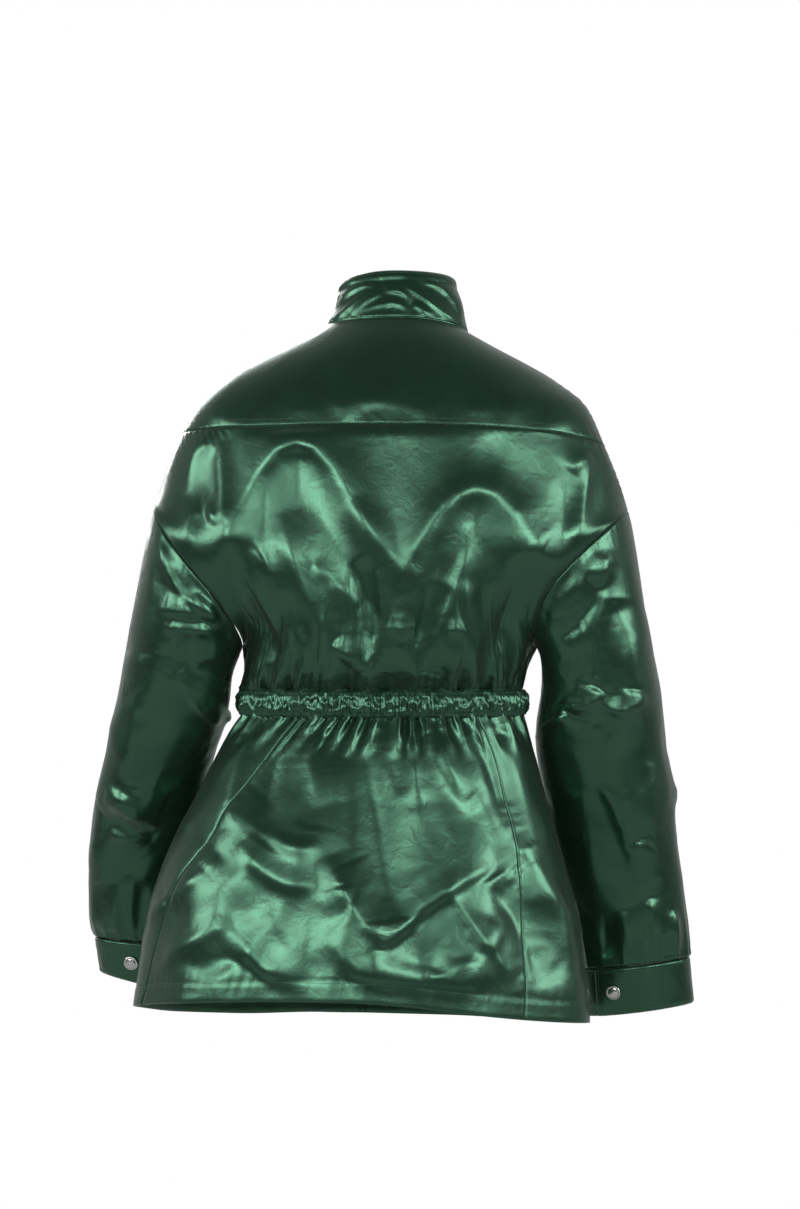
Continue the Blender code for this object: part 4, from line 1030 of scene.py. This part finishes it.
def relax(cloth, form, across, down, free, closed=False):
    """Settles a grid of cloth that is longer than the form under it, so that it buckles into creases.

    across and down are the spare length along the rows and columns, as shares. free is 0 where it is sewn.
    """
    points = cloth.copy()
    row_count, column_count = points.shape[:2]
    free = free[..., None]
    pairs = []
    last = column_count if closed else column_count - 1
    for parity in (0, 1):
        a = np.arange(parity, last, 2)
        pairs.append(((slice(None), a), (slice(None), (a + 1) % column_count), across, 1.0))
        r = np.arange(parity, row_count - 1, 2)
        pairs.append(((r, slice(None)), (r + 1, slice(None)), down, 1.0))
    for parity in (0, 1):
        r = np.arange(parity, row_count - 1, 2)[:, None]
        c = np.arange(last)[None, :]
        n = (c + 1) % column_count
        both = 0.5 * (across + down)
        pairs.append(((r, c), (r + 1, n), both, 0.4))
        pairs.append(((r, n), (r + 1, c), both, 0.4))
    links = []
    for a, b, spare, stiff in pairs:
        rest = np.linalg.norm(form[b] - form[a], axis=-1) * (1 + 0.5 * (spare[a] + spare[b]))
        rest = np.maximum(rest, np.linalg.norm(cloth[b] - cloth[a], axis=-1))
        links.append((a, b, rest, stiff, free[a], free[b]))
    for _ in range(SETTLE_ROUNDS):
        moved = points - form
        around = (np.roll(moved, 1, axis=1) + np.roll(moved, -1, axis=1)) / 2
        if not closed:
            around[:, 0], around[:, -1] = moved[:, 0], moved[:, -1]
        above = moved.copy()
        above[1:-1] = (moved[:-2] + moved[2:]) / 2
        moved += free * (SETTLE_BEND * (around + above - 2 * moved) / 2 - SETTLE_HOLD * moved)
        size = np.linalg.norm(moved, axis=-1, keepdims=True)
        points = form + moved * np.minimum(1, SETTLE_CAP / np.maximum(size, 1e-6))
        for a, b, rest, stiff, free_a, free_b in links:
            gap = points[b] - points[a]
            length = np.sqrt((gap * gap).sum(axis=-1)) + 1e-9
            move = (0.5 * stiff * (1 - rest / length))[..., None] * gap
            points[a] += move * free_a
            points[b] -= move * free_b
    return points


def lay_sheet(node, grid, outward, finish, held="stretched", name=None, thickness=SHEET, **more):
    """Makes the sheet that stands for a solid, ties it to the root body, and hides the solid."""
    made = sheet_wall((name or node) + "_cloth", grid, outward, thickness, finish, **more)
    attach(made, "root")
    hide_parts(node)


def lift(points, normal, height):
    """The points moved along their normals."""
    return points + normal * height[..., None]


def waist_gathers(place, away, width, seed, long=1.0):
    """Gathers beside the waist casing: narrow ones that die out first and run into wider ones."""
    uneven = np.clip(1 + 1.2 * line_noise(place * width, 20.0, seed + 9), 0.25, 2.4)
    length = long * uneven
    small = pleats(place, int(width / 7.5), seed) * bump(away, 13 * length, 1.5)
    middle = pleats(place + 0.002, int(width / 15), seed + 1) * bump(away, 26 * length, 1.7)
    wide = pleats(place + 0.004, int(width / 38), seed + 2) * bump(away, 60 * length)
    return 3.4 * small + 3.0 * middle + 2.2 * wide - 2.0 * bump(away, 26 * uneven)


def ruffled(points, seed, strength, size=26.0):
    """Soft swells, and crumpling at two sizes, in patches."""
    patch = np.clip(0.5 + 1.1 * noise(points, 4 * size, seed + 30), 0.0, 1.4)
    fine = crumple(points * [1, 1, 0.8], size, seed) + 0.3 * crumple(points, 0.45 * size, seed + 1)
    return strength * (0.7 * noise(points, 1.6 * size, seed + 40) + 0.8 * patch * fine)


def tuck(cloth, edge, fall, inward, steps=3):
    """Adds rows beyond a sheet's first or last row, which run behind the waist casing."""
    rim = cloth[edge]
    middle = rim.mean(axis=0)
    away = unit((rim - middle) * [1, 1, 0])
    extra = [rim + k / steps * (np.array([0, 0, fall]) - away * inward) for k in range(1, steps + 1)]
    extra = np.stack(extra if edge == -1 else extra[::-1])
    return np.concatenate([cloth, extra] if edge == -1 else [extra, cloth])


def even_out(cloth, v):
    """Rounds the corners that both ends of the armholes would carry across a panel."""
    inside = ease(0.0, 0.24, 1 - np.abs(np.linspace(-1, 1, cloth.shape[1])))[None, :, None]
    near = bump(v - V_TOP, 0.3) + bump(v - V_UNDER, 0.22)
    near = near[:, None, None] * inside
    for _ in range(220):
        cloth[1:-1] += (0.5 * near * (np.roll(cloth, 1, 0) + np.roll(cloth, -1, 0) - 2 * cloth))[1:-1]


def dress_bodice(cloth, v, seam, half, seed):
    """Creases and settles one half of the bodice, in place. v is its rows, seam the yoke's row."""
    columns = cloth.shape[1]
    even_out(cloth, v)
    normal = half * grid_normals(cloth)
    x, z = cloth[..., 0], cloth[..., 2]
    place = np.linspace(0, 1, columns)[None, :] + 0 * x
    opening = np.abs(x - cloth[:, columns // 2][:, None, 0])
    waist, neck = reach(cloth, 0, True), reach(cloth, 0)
    sides = from_edges(cloth, 1)
    calm = ease(0, 16, sides) * ease(0, 14, neck)
    below = ease(V_YOKE, V_YOKE + 0.1, v)[:, None]
    if half < 0:
        below = ease(0.7, 1.2, v)[:, None]
        calm = calm * ease(9, 26, opening)
    height = (1 - below) * ruffled(cloth, seed, 0.9, 60.0)
    if half > 0:
        height += (1 - below) * crease_height(x, z, YOKE_CREASES)
        creases = below * crease_height(x, z, BACK_CREASES)
        height += below * crease_height(x, z, YOKE_SWELL)
        drop = np.interp(x, ARCH_LINE["x"], ARCH_LINE["z"]) - z
        height -= ARCH_DROP * below * ease(-5, 66, drop) * ease(0, 84, waist)
    else:
        lower = {name: column[4:] for name, column in BACK_CREASES.items()}
        creases = below * crease_height(-x, z, lower)
    lower_part = ease(130, 60, waist)
    height += BODICE_SOFT * (1 + 0.3 * lower_part) * creases
    low = ease(90, 0, waist)
    height += below * crease_height(x, z, scatter(seed, *BODICE_SMALL_CREASES))
    height += below * ruffled(cloth, seed, 1.4 + 1.2 * low, 58.0)
    calm_waist = 1 - ease(16, 0, waist)
    height = height * calm * calm_waist
    creases = creases * calm * calm_waist
    flat_front = ease(9, 20, opening) if half < 0 else 1
    puffs = 1.5 * waist_gathers(place, waist, 350 if half > 0 else 330, seed, 1.25)
    height += puffs * ease(0, 12, sides) * flat_front
    uneven = 24 * np.clip(1 + 1.2 * line_noise(330 * place, 18.0, seed + 5), 0.4, 2.4)
    across = below * (0.002 + 0.010 * low + 0.05 * bump(waist, uneven, 1.5)) * flat_front
    down = below * (-0.003 + 0.005 * bump(waist, 60))
    free = ease(0, 9, sides) * ease(0, 3, waist) * ease(0, 9, neck) * flat_front
    if half > 0:
        free = free * ease(0, 5, np.abs(neck - neck[seam][None, :]))
    cloth[:] = relax(lift(cloth, normal, height), cloth, across, down + 0 * x, free)
    even = 0.25 * (free * below * ease(20, 60, waist))[1:-1, :, None]
    for _ in range(6):
        cloth[1:-1] += even * (cloth[:-2] + cloth[2:] - 2 * cloth[1:-1])
    normal = half * grid_normals(cloth)
    height = (BODICE_SHARP + 0.6 * lower_part) * creases
    along_sides = reach(cloth, 0)
    groove = seam_relief(sides, along_sides, seed + 7, 0.7, 0.35)
    armhole = ((v >= V_TOP) & (v <= V_UNDER))[:, None]
    height += np.where(armhole, 0.8 * groove, groove) * ease(0, 6, neck)
    if half > 0:
        away = np.abs(neck - neck[seam][None, :])
        above = (np.arange(len(v)) <= seam)[:, None]
        relief = seam_relief(away, reach(cloth, 1), 21, 0.3, np.where(above, 0.5, 0.8), 9.0)
        height += relief * ease(0, 6, sides)
    cloth += normal * height[..., None]


def make_bodice(finish):
    """Yoke and back from one grid, then both fronts from another."""
    v = bodice_rows((0, 1, 58), (1, 1.5, 30), (1.5, 3, 76), (3, 3.6, 40))
    seam = int(np.argmin(np.abs(v - V_YOKE)))
    top, under = int(np.argmin(np.abs(v - V_TOP))), int(np.argmin(np.abs(v - V_UNDER)))
    back = bodice_cloth(*np.meshgrid(np.linspace(-1, 1, 181), v), 1)
    front = bodice_cloth(*np.meshgrid(np.linspace(-1, 1, 161), v), -1)
    for cloth, half, seed in ((back, 1, 3), (front, -1, 40)):
        dress_bodice(cloth, v, seam, half, seed)
    back_normal, front_normal = grid_normals(back), -grid_normals(front)
    lay_sheet("back_yoke", tuck(back[: seam + 1], 0, 3.5, 0.4), 1, finish)
    low_back = tuck(back[seam:], -1, -7.0, 2.5)
    low_front = tuck(tuck(front, 0, 3.5, 0.4), -1, -7.0, 2.5)
    lay_sheet("back_panel", low_back, 1, finish, "gathered", name="back")
    lay_sheet("front_right", low_front[:, :81], -1, finish, "gathered")
    lay_sheet("front_left", low_front[:, 80:], -1, finish, "gathered")
    for gap in STITCH_GAPS_AT_YOKE:
        row = seam - gap / max(reach(back[: seam + 1], 0, True)[seam - 1].mean(), 0.1)
        sew("back_threads", *edge_line(back, back_normal, 0, row))
    for last in (False, True):
        column = row_at(back[seam:top], 2.4, 1, last)
        line, out = edge_line(back, back_normal, 1, column)
        sew("back_threads", line[:top], out[:top])
        sew("back_threads", line[top : under + 1], out[top : under + 1])
        column = row_at(front[:top], 2.4, 1, last)
        line, out = edge_line(front, front_normal, 1, column)
        sew("front_threads", line[top : under + 1], out[top : under + 1])


def make_sleeves(finish):
    """Both sleeves, closed round the arm, with pleats into the cuffs."""
    count = 144
    t, s = np.meshgrid(np.linspace(0, 2 * math.pi, count, endpoint=False), np.linspace(0, 9, 156))
    for name, side, seed in (("sleeve_left", 1, 60), ("sleeve_right", -1, 80)):
        cloth = sleeve_cloth(t, s, side)
        normal = -side * grid_normals(cloth, closed=True)
        x, z = cloth[..., 0], cloth[..., 2]
        behind = ease(-0.15, 0.3, np.sin(t))
        top, bottom = reach(cloth, 0), reach(cloth, 0, True)
        creases = behind * crease_height(x, z, SLEEVE_CREASES[side])
        creases += (1 - behind) * crease_height(x, z, mirrored(SLEEVE_CREASES[-side]))
        height = SLEEVE_SOFT * creases
        for part, low, high, lean, lot in SLEEVE_SMALL_CREASES:
            for face in (0, 1):
                middle = np.sort([side * 150.0, side * 310.0])
                box = (middle[0], low), (middle[1], high)
                extra = scatter(seed + 7 * part + face, lot, *box, -side * lean, 24, 80, 7.0, 1.8)
                height += (behind if face else 1 - behind) * crease_height(x, z, extra)
        height += ruffled(cloth, seed, SLEEVE_RUFFLE, 62.0)
        height = height * ease(0, 16, top) * ease(0, 10, bottom)
        creases = creases * ease(0, 16, top) * ease(0, 10, bottom)
        around = np.arange(count)[None, :] / count + 0 * t
        gathered = CUFF_PLEAT_DEPTH * pleats(around, CUFF_PLEATS, seed)
        height += gathered * bump(bottom, 42, 1.5) * ease(0, 3, bottom)
        across = 0.003 + 0.04 * bump(bottom, 26)
        down = 0.003 + 0.015 * bump(bottom - 130, 50)
        down += 0.016 * bump(top - 110, 60)
        free = ease(0, 8, top) * ease(0, 4, bottom)
        cloth = relax(lift(cloth, normal, height), cloth, across, down, free, closed=True)
        normal = -side * grid_normals(cloth, closed=True)
        along = reach(cloth, 1)
        height = SLEEVE_SHARP * creases + seam_relief(top, along, seed, 0.6, 0.8)
        height += seam_relief(bottom, along, seed + 1, 0.8, 0.5, 7.0)
        cloth = lift(cloth, normal, height)
        normal = -side * grid_normals(cloth, closed=True)
        lay_sheet(name, cloth, -side, finish, "gathered", closed=True)
        ring, out = edge_line(cloth, normal, 0, row_at(cloth, 2.4))
        sew(name + "_threads", np.concatenate([ring, ring[:1]]), np.concatenate([out, out[:1]]))


def make_cuffs(finish):
    """Both cuffs, lapped at the back and stitched all round."""
    turn, level = np.meshgrid(np.linspace(0, 360 + CUFF_OVERLAP_DEG, 170), np.linspace(0, 1, 20))
    for name, side, seed in (("cuff_left", 1, 100), ("cuff_right", -1, 110)):
        face = cuff_form(turn, level, side)
        normal = -side * grid_normals(face)
        top, bottom = reach(face, 0), reach(face, 0, True)
        ends = from_edges(face, 1)
        inside = ease(0, 5, top) * ease(0, 5, bottom) * ease(0, 6, ends)
        height = 0.5 * inside * ruffled(face, seed, 1.0, 18.0)
        beside = np.exp(-top / 9) + 0.6 * np.exp(-bottom / 9)
        height += 0.5 * pleats(turn / 400, 34, seed) * beside * ease(0, 3, ends)
        for away in (top, bottom, ends):
            height += -0.35 * bump(away - 4.0, 1.0) - 0.5 * bump(away, 0.9)
        face = lift(face, normal, height)
        normal = -side * grid_normals(face)
        lay_sheet(name, face, -side, finish, thickness=BAND_SHEET)
        for last in (False, True):
            for axis in (0, 1):
                sew_beside(name + "_threads", face, normal, 4.0, axis, last)


def make_collar(finish):
    """The stand collar, with a turned top edge."""
    end = 2.2
    angle, level = np.meshgrid(np.linspace(-90 + end, 270 - end, 200), np.linspace(1, 0, 30))
    face = collar_form(angle, level)
    face[-1] += 2 * SEAM_GAP * unit(face[-2] - face[-1])
    normal = -grid_normals(face)
    x, z = face[..., 0], face[..., 2]
    behind = ease(-0.1, 0.3, np.sin(np.radians(angle)))
    top, bottom = reach(face, 0), reach(face, 0, True)
    height = behind * crease_height(x, z, COLLAR_CREASES)
    height += (1 - behind) * crease_height(-x, z + 24, COLLAR_CREASES)
    height += 0.55 * ruffled(face, 130, 1.0, 22.0)
    height = height * ease(0, 7, top) * ease(0, 6, bottom)
    height -= 0.7 * bump(top - 12, 2.2) * behind
    height += 0.9 * bump(top - 6, 3.5)
    height += seam_relief(bottom, reach(face, 1), 131, 0.3, 0.5, 8.0) - 0.6 * bump(top, 1.0)
    face = lift(face, normal, height)
    normal = -grid_normals(face)
    lay_sheet("collar", face, -1, finish, thickness=BAND_SHEET)
    sew_beside("collar_threads", face, normal, 2.5, 0, True)
    sew_beside("collar_threads", face, normal, 4.0)


def make_casing(finish):
    """The elastic's casing, in narrow uneven puffs between its rows of stitching."""
    end = 8.5
    level_rows = np.linspace(0, 1, 17)
    angle, level = np.meshgrid(np.linspace(-90 + end, 270 - end, CASING_COLUMNS), level_rows)
    face = casing_form(angle, level)
    a = np.radians(angle)
    outward = np.stack([np.cos(a), np.sin(a), 0 * a], axis=-1)
    place = (angle + 90) / 360
    swirl = np.stack([place * 900, 22 * level, 0 * level], axis=-1)
    lean = 0.0022 * noise(swirl, 14.0, 151) + 0.0012 * noise(swirl, 6.0, 152)
    ridge = pleats(place + lean, CASING_GATHERS + 6, 150)
    small = pleats(place - 0.7 * lean, 2 * CASING_GATHERS + 20, 155)
    middle = np.sin(math.pi * np.clip(level, 0, 1)) ** 0.6
    height = (CASING_RIDGE * ridge + CASING_SMALL_RIDGE * small) * (0.35 + 0.65 * middle)
    height -= CASING_RIDGE / 2
    height += CASING_UNEVEN * noise(swirl, 6.5, 157) * middle
    for line in CASING_SEAMS:
        height -= 0.9 * bump(level - line, 0.045)
    face = face + outward * height[..., None]
    inner = casing_form(angle, level) - outward * (CLOTH + CASING_GATHER_DEPTH)
    normal = -grid_normals(face)
    lay_sheet("waist_casing", face, -1, finish, "gathered", inner=inner)
    for line in CASING_SEAMS:
        sew("waist_threads", *edge_line(face, normal, 0, line * (len(level_rows) - 1)))


def make_skirt(finish):
    """The skirt's three panels, from one grid that is settled whole and then parted at the seams."""
    s = np.concatenate([np.linspace(0, 0.2, 34)[:-1], np.linspace(0.2, 1, 84)])
    left, right = (smooth(SKIRT_SEAMS, c, s, "s")[:, None] for c in ("left", "right"))
    spans = (
        ("skirt_left", -90 + 0 * left, left, 116, 9),
        ("skirt_back", left, right, 152, 12),
        ("skirt_right", right, 270 + 0 * right, 112, 9),
    )
    angles, gather, starts = [], [], [0]
    for name, start, end, columns, count in spans:
        share = np.linspace(0, 1, columns)[None, :]
        angles.append((start + (end - start) * share)[:, (1 if angles else 0):])
        gather.append(count * share[0, (1 if gather else 0):] + (gather[-1][-1] if gather else 0))
        starts.append(starts[-1] + columns - 1)
    whole = np.concatenate(angles, axis=1)
    cloth = skirt_cloth(whole, s[:, None] + 0 * whole, np.concatenate(gather) + 0 * whole)
    normal = -grid_normals(cloth)
    x, z = cloth[..., 0], cloth[..., 2]
    behind = ease(-0.12, 0.25, np.sin(np.radians(whole)))
    waist, hem = reach(cloth, 0), reach(cloth, 0, True)
    sides = from_edges(cloth, 1)
    creases = behind * crease_height(x, z, SKIRT_CREASES)
    creases += (1 - behind) * crease_height(-x, z, SKIRT_CREASES)
    height = SKIRT_SOFT * creases
    for seed, *drawn in SKIRT_SMALL_CREASES:
        for start, share in ((seed, behind), (seed + 10, 1 - behind)):
            height += share * crease_height(x, z, scatter(start, *drawn))
    height += (1.2 + 1.4 * ease(230, 130, hem)) * ruffled(cloth, 180, 1.0, 66.0)
    inside = ease(0, 30, waist) * (0.25 + 0.75 * ease(10, 34, hem)) * ease(9, 26, sides)
    height = height * inside
    place = reach(cloth, 1)[:1] / reach(cloth, 1)[0, -1] + 0 * x
    height += 0.75 * waist_gathers(place, waist, 780, 200, 0.42) * ease(9, 20, sides)
    across = 0.002 + 0.06 * bump(waist, 24, 1.5) + 0.004 * ease(200, 90, hem)
    down = 0.002 + 0.004 * ease(200, 90, hem) + 0 * x
    free = ease(0, 3, waist) * ease(0, 12, sides) * (0.3 + 0.7 * ease(0, 22, hem))
    cloth = relax(lift(cloth, normal, height), cloth, across, down, free)
    normal = -grid_normals(cloth)
    height = SKIRT_SHARP * creases * inside
    along = reach(cloth, 1)
    for column in starts[1:3]:
        away = np.abs(along - along[:, column : column + 1])
        height = height * (0.4 + 0.6 * ease(0, 9, away))
        height += seam_relief(away, waist, 210 + column, 0.5, 0.25, 14.0)
    height -= 0.4 * bump(hem - HEM_DEPTH, 1.4)
    height += seam_relief(np.abs(hem - HEM_DEPTH), along, 220, 0.0, 0.5, 11.0)
    height += 0.3 * ease(HEM_DEPTH, HEM_DEPTH - 4, hem)
    cloth = lift(cloth, normal, height)
    normal = -grid_normals(cloth)
    thickness = np.where(hem.mean(axis=1) < HEM_DEPTH, HEM_SHEET, SHEET)
    for (name, _, _, columns, _), start in zip(spans, starts):
        part = tuck(cloth, 0, 7.0, 2.5)[:, start : start + columns]
        layers = np.concatenate([thickness[:1]] * 3 + [thickness])
        lay_sheet(name, part, -1, finish, "gathered", thickness=layers)
    sew_beside("skirt_threads", cloth, normal, HEM_DEPTH, 0, True)
    step = reach(cloth, 1)
    for column, way in zip(starts[1:3], (-1, 1)):
        pitch = (step[:, column + 1] - step[:, column]).mean()
        line, out = edge_line(cloth, normal, 1, column + way * 2.2 / pitch)
        sew("skirt_threads", line[2:], out[2:])


def make_placket(finish):
    """The placket, a doubled band down the centre front."""
    under = placket_face()
    length = np.concatenate([[0], np.cumsum(np.linalg.norm(np.diff(under[:, 1], axis=0), axis=1))])
    at = np.linspace(0, length[-1], 380)
    fine = np.stack([[np.interp(at, length, under[:, c, k]) for k in range(3)] for c in range(3)])
    fine = fine.transpose(2, 0, 1)
    across = np.linspace(0, 2, 13)
    face = np.stack([fine[:, 0] + (fine[:, 2] - fine[:, 0]) * c / 2 for c in across], axis=1)
    middle = fine[:, 1] - (fine[:, 0] + fine[:, 2]) / 2
    face += middle[:, None] * (1 - (across - 1) ** 2)[None, :, None]
    normal = -grid_normals(face)
    sides = from_edges(face, 1)
    ends = from_edges(face, 0)
    height = BAND_SHEET + 0.4 * ruffled(face, 230, 1.0, 20.0) * ease(0, 6, ends)
    height -= 0.35 * bump(sides - 3.5, 1.0) + 0.6 * bump(sides, 0.9)
    face = lift(face, normal, height)
    normal = -grid_normals(face)
    lay_sheet("placket", face, -1, finish, thickness=BAND_SHEET)
    for last in (False, True):
        sew_beside("placket_threads", face, normal, 3.5, 1, last)


def make_threads(finish):
    """Makes one piece of each group of stitches."""
    for group, parts in THREADS.items():
        start, points, faces = 0, [], []
        for p, f in parts:
            points.append(p)
            faces.append(f + start)
            start += len(p)
        made = make_mesh(group, np.concatenate(points), np.concatenate(faces), finish)
        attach(made, "root")


def make_snap(node, finish, sides=40):
    """A turned press snap with a rolled rim and a low dome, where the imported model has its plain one."""
    low, high = (np.array(corner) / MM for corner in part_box(node))
    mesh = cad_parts[node].data
    points = np.array([v.co for v in mesh.vertices]) / MM
    centre = (low + high) / 2
    _, _, axes = np.linalg.svd(points - points.mean(axis=0), full_matrices=False)
    normal = axes[2]
    outward = np.array([0, -1.0, 0])
    if node.startswith("cuff"):
        outward = centre - np.mean(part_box(node.replace("_snap", "")), axis=0) / MM
    if normal @ outward < 0:
        normal = -normal
    heights = (points - centre) @ normal
    base = centre + normal * heights.min()
    first = unit(np.cross(normal, [0, 0, 1.0]))
    second = np.cross(normal, first)
    a = np.linspace(0, 2 * math.pi, sides, endpoint=False)
    ring = np.cos(a)[:, None] * first + np.sin(a)[:, None] * second
    grid = np.stack([base + normal * h + ring * max(r, 0.01) for r, h in SNAP_PROFILE])
    faces = grid_faces(len(SNAP_PROFILE), sides, True).tolist() + [list(range(sides))]
    made = make_mesh(node + "_turned", grid.reshape(-1, 3), faces, finish)
    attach(made, "root")
    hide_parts(node)


class Nodes:
    """Short calls for a material's or the world's node tree."""

    def __init__(self, owner):
        owner.use_nodes = True
        self.tree = owner.node_tree

    def add(self, kind, values=(), **settings):
        """A new node. values fill its inputs, each from a number or from another node's output."""
        made = self.tree.nodes.new(kind)
        for name, value in settings.items():
            setattr(made, name, value)
        for name, value in dict(values).items():
            if hasattr(value, "links"):
                self.tree.links.new(value, made.inputs[name])
            else:
                made.inputs[name].default_value = value
        return made

    def noise(self, place, scale, detail, distortion=0.0):
        """A noise texture's value."""
        values = {"Vector": place, "Scale": scale, "Detail": detail, "Distortion": distortion}
        return self.add("ShaderNodeTexNoise", values).outputs["Fac"]

    def span(self, value, low, high, to_low, to_high):
        """A value with its range moved to another one."""
        values = {"Value": value, "From Min": low, "From Max": high, "To Min": to_low, "To Max": to_high}
        return self.add("ShaderNodeMapRange", values).outputs["Result"]

    def link(self, output, target):
        """Joins an output to an input."""
        self.tree.links.new(output, target)


def start_material(name):
    """A new material, its nodes, its shader, and the place that its textures read."""
    made = bpy.data.materials.new(name)
    nodes = Nodes(made)
    place = nodes.add("ShaderNodeTexCoord").outputs["Object"]
    return made, nodes, nodes.tree.nodes["Principled BSDF"], place


def cloudy(nodes, shader, place, colour, low, high, scale, detail):
    """Colours a shader in clouds, from a low to a high share of a colour. Returns the clouds."""
    cloud = nodes.noise(place, scale, detail)
    tint = nodes.add("ShaderNodeMix", {"Factor": cloud}, data_type="RGBA")
    tint.inputs["A"].default_value = (*(c * low for c in colour), 1)
    tint.inputs["B"].default_value = (*(c * high for c in colour), 1)
    nodes.link(tint.outputs["Result"], shader.inputs["Base Color"])
    return cloud


def satin_material():
    """Glossy satin: soft clouds of colour and gloss, marks from pressing, and a fine slub."""
    made, nodes, shader, place = start_material("green_satin_cloth")
    cloudy(nodes, shader, place, SATIN, 0.86, 1.14, 9.0, 3.0)
    rub = nodes.noise(place, 38.0, 4.0)
    gloss = nodes.span(rub, 0.3, 0.7, SATIN_ROUGHNESS - 0.03, SATIN_ROUGHNESS + 0.04)
    nodes.link(gloss, shader.inputs["Roughness"])
    press = nodes.noise(place, 70.0, 3.0, 0.6)
    long = nodes.add("ShaderNodeMapping", {"Vector": place, "Scale": (1.0, 1.0, 0.12)}).outputs["Vector"]
    slub = nodes.noise(long, 1500.0, 1.0)
    relief = None
    for texture, strength, distance in ((press, 0.35, 0.0012), (slub, 0.22, 0.0002)):
        values = {"Height": texture, "Strength": strength, "Distance": distance}
        if relief:
            values["Normal"] = relief
        relief = nodes.add("ShaderNodeBump", values).outputs["Normal"]
    nodes.link(relief, shader.inputs["Normal"])
    for name, value in SATIN_LOOK.items():
        shader.inputs[name].default_value = value
    return made


def thread_material():
    """Matt thread, each stitch a little lighter or darker."""
    made, nodes, shader, place = start_material("sewing_thread")
    cloudy(nodes, shader, place, THREAD, 0.7, 1.3, 900.0, 2.0)
    shader.inputs["Roughness"].default_value = 0.5
    shader.inputs["Sheen Weight"].default_value = 0.2
    return made


def steel_material():
    """Polished steel, slightly worn."""
    made, nodes, shader, place = start_material("snap_steel")
    wear = cloudy(nodes, shader, place, STEEL, 0.85, 1.0, 420.0, 4.0)
    nodes.link(nodes.span(wear, 0.0, 1.0, 0.16, 0.3), shader.inputs["Roughness"])
    shader.inputs["Metallic"].default_value = 1.0
    return made


def floor_material():
    """Light grey paint."""
    made, nodes, shader, place = start_material("floor_paint")
    cloudy(nodes, shader, place, FLOOR, 0.97, 1.0, 2.0, 2.0)
    shader.inputs["Roughness"].default_value = 0.7
    return made


def make_world():
    """A white background, and a studio that is bright at its far end and above, for what it lights."""
    world = bpy.data.worlds.new("studio")
    bpy.context.scene.world = world
    nodes = Nodes(world)
    back = nodes.tree.nodes["Background"]
    back.inputs["Color"].default_value = (1, 1, 1, 1)
    back.inputs["Strength"].default_value = 1.0
    way = nodes.add("ShaderNodeTexCoord").outputs["Generated"]
    axes = nodes.add("ShaderNodeSeparateXYZ", {"Vector": way}).outputs
    ahead = nodes.span(axes["Y"], -1.0, 0.3, STUDIO_FAR, STUDIO_DARK)
    above = nodes.span(axes["Z"], -0.2, 0.9, 0.0, STUDIO_TOP)
    total = nodes.add("ShaderNodeMath", {0: ahead, 1: above}, operation="ADD").outputs["Value"]
    lit = nodes.add("ShaderNodeBackground", {"Strength": total, "Color": (1, 1, 1, 1)})
    seen = nodes.add("ShaderNodeLightPath").outputs["Is Camera Ray"]
    both = {"Fac": seen, 1: lit.outputs["Background"], 2: back.outputs["Background"]}
    mix = nodes.add("ShaderNodeMixShader", both)
    nodes.link(mix.outputs["Shader"], nodes.tree.nodes["World Output"].inputs["Surface"])


def make_lights():
    """Six soft lights, low round the sides and behind the camera."""
    for name, place, aim, width, height, watts in LIGHTS:
        lamp = bpy.data.lights.new(name, "AREA")
        lamp.shape = "RECTANGLE"
        lamp.size, lamp.size_y, lamp.energy = width, height, watts
        made = bpy.data.objects.new(name, lamp)
        made.location = place
        made.rotation_euler = (Vector(aim) - Vector(place)).to_track_quat("-Z", "Y").to_euler()
        bpy.context.scene.collection.objects.link(made)


def make_camera():
    """The camera, where it frames the jacket as the photograph does."""
    lens = bpy.data.cameras.new("camera")
    lens.sensor_fit = "AUTO"
    lens.sensor_width = 36.0
    lens.lens = 36.0 * CAMERA_DISTANCE / PHOTO_HEIGHT
    made = bpy.data.objects.new("camera", lens)
    made.location = (CAMERA_X, CAMERA_DISTANCE, CAMERA_Z)
    made.rotation_euler = (math.pi / 2, 0, math.pi)
    bpy.context.scene.collection.objects.link(made)
    bpy.context.scene.camera = made


def make_floor(finish):
    """A round floor far below the jacket."""
    a = np.linspace(0, 2 * math.pi, 96, endpoint=False)
    ring = np.stack([FLOOR_RADIUS * np.cos(a), FLOOR_RADIUS * np.sin(a), FLOOR_Z + 0 * a], axis=-1)
    made = make_mesh("floor", ring / MM, [list(range(96))], finish)


def main():
    """Makes the whole scene."""
    scene = bpy.context.scene
    scene.view_settings.view_transform = "Standard"
    make_camera()
    satin, thread, steel = satin_material(), thread_material(), steel_material()
    for make in (make_bodice, make_sleeves, make_cuffs, make_collar, make_casing, make_skirt, make_placket):
        make(satin)
    make_threads(thread)
    for node in sorted(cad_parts):
        if "snap" in node:
            make_snap(node, steel)
    make_floor(floor_material())
    make_world()
    make_lights()


main()
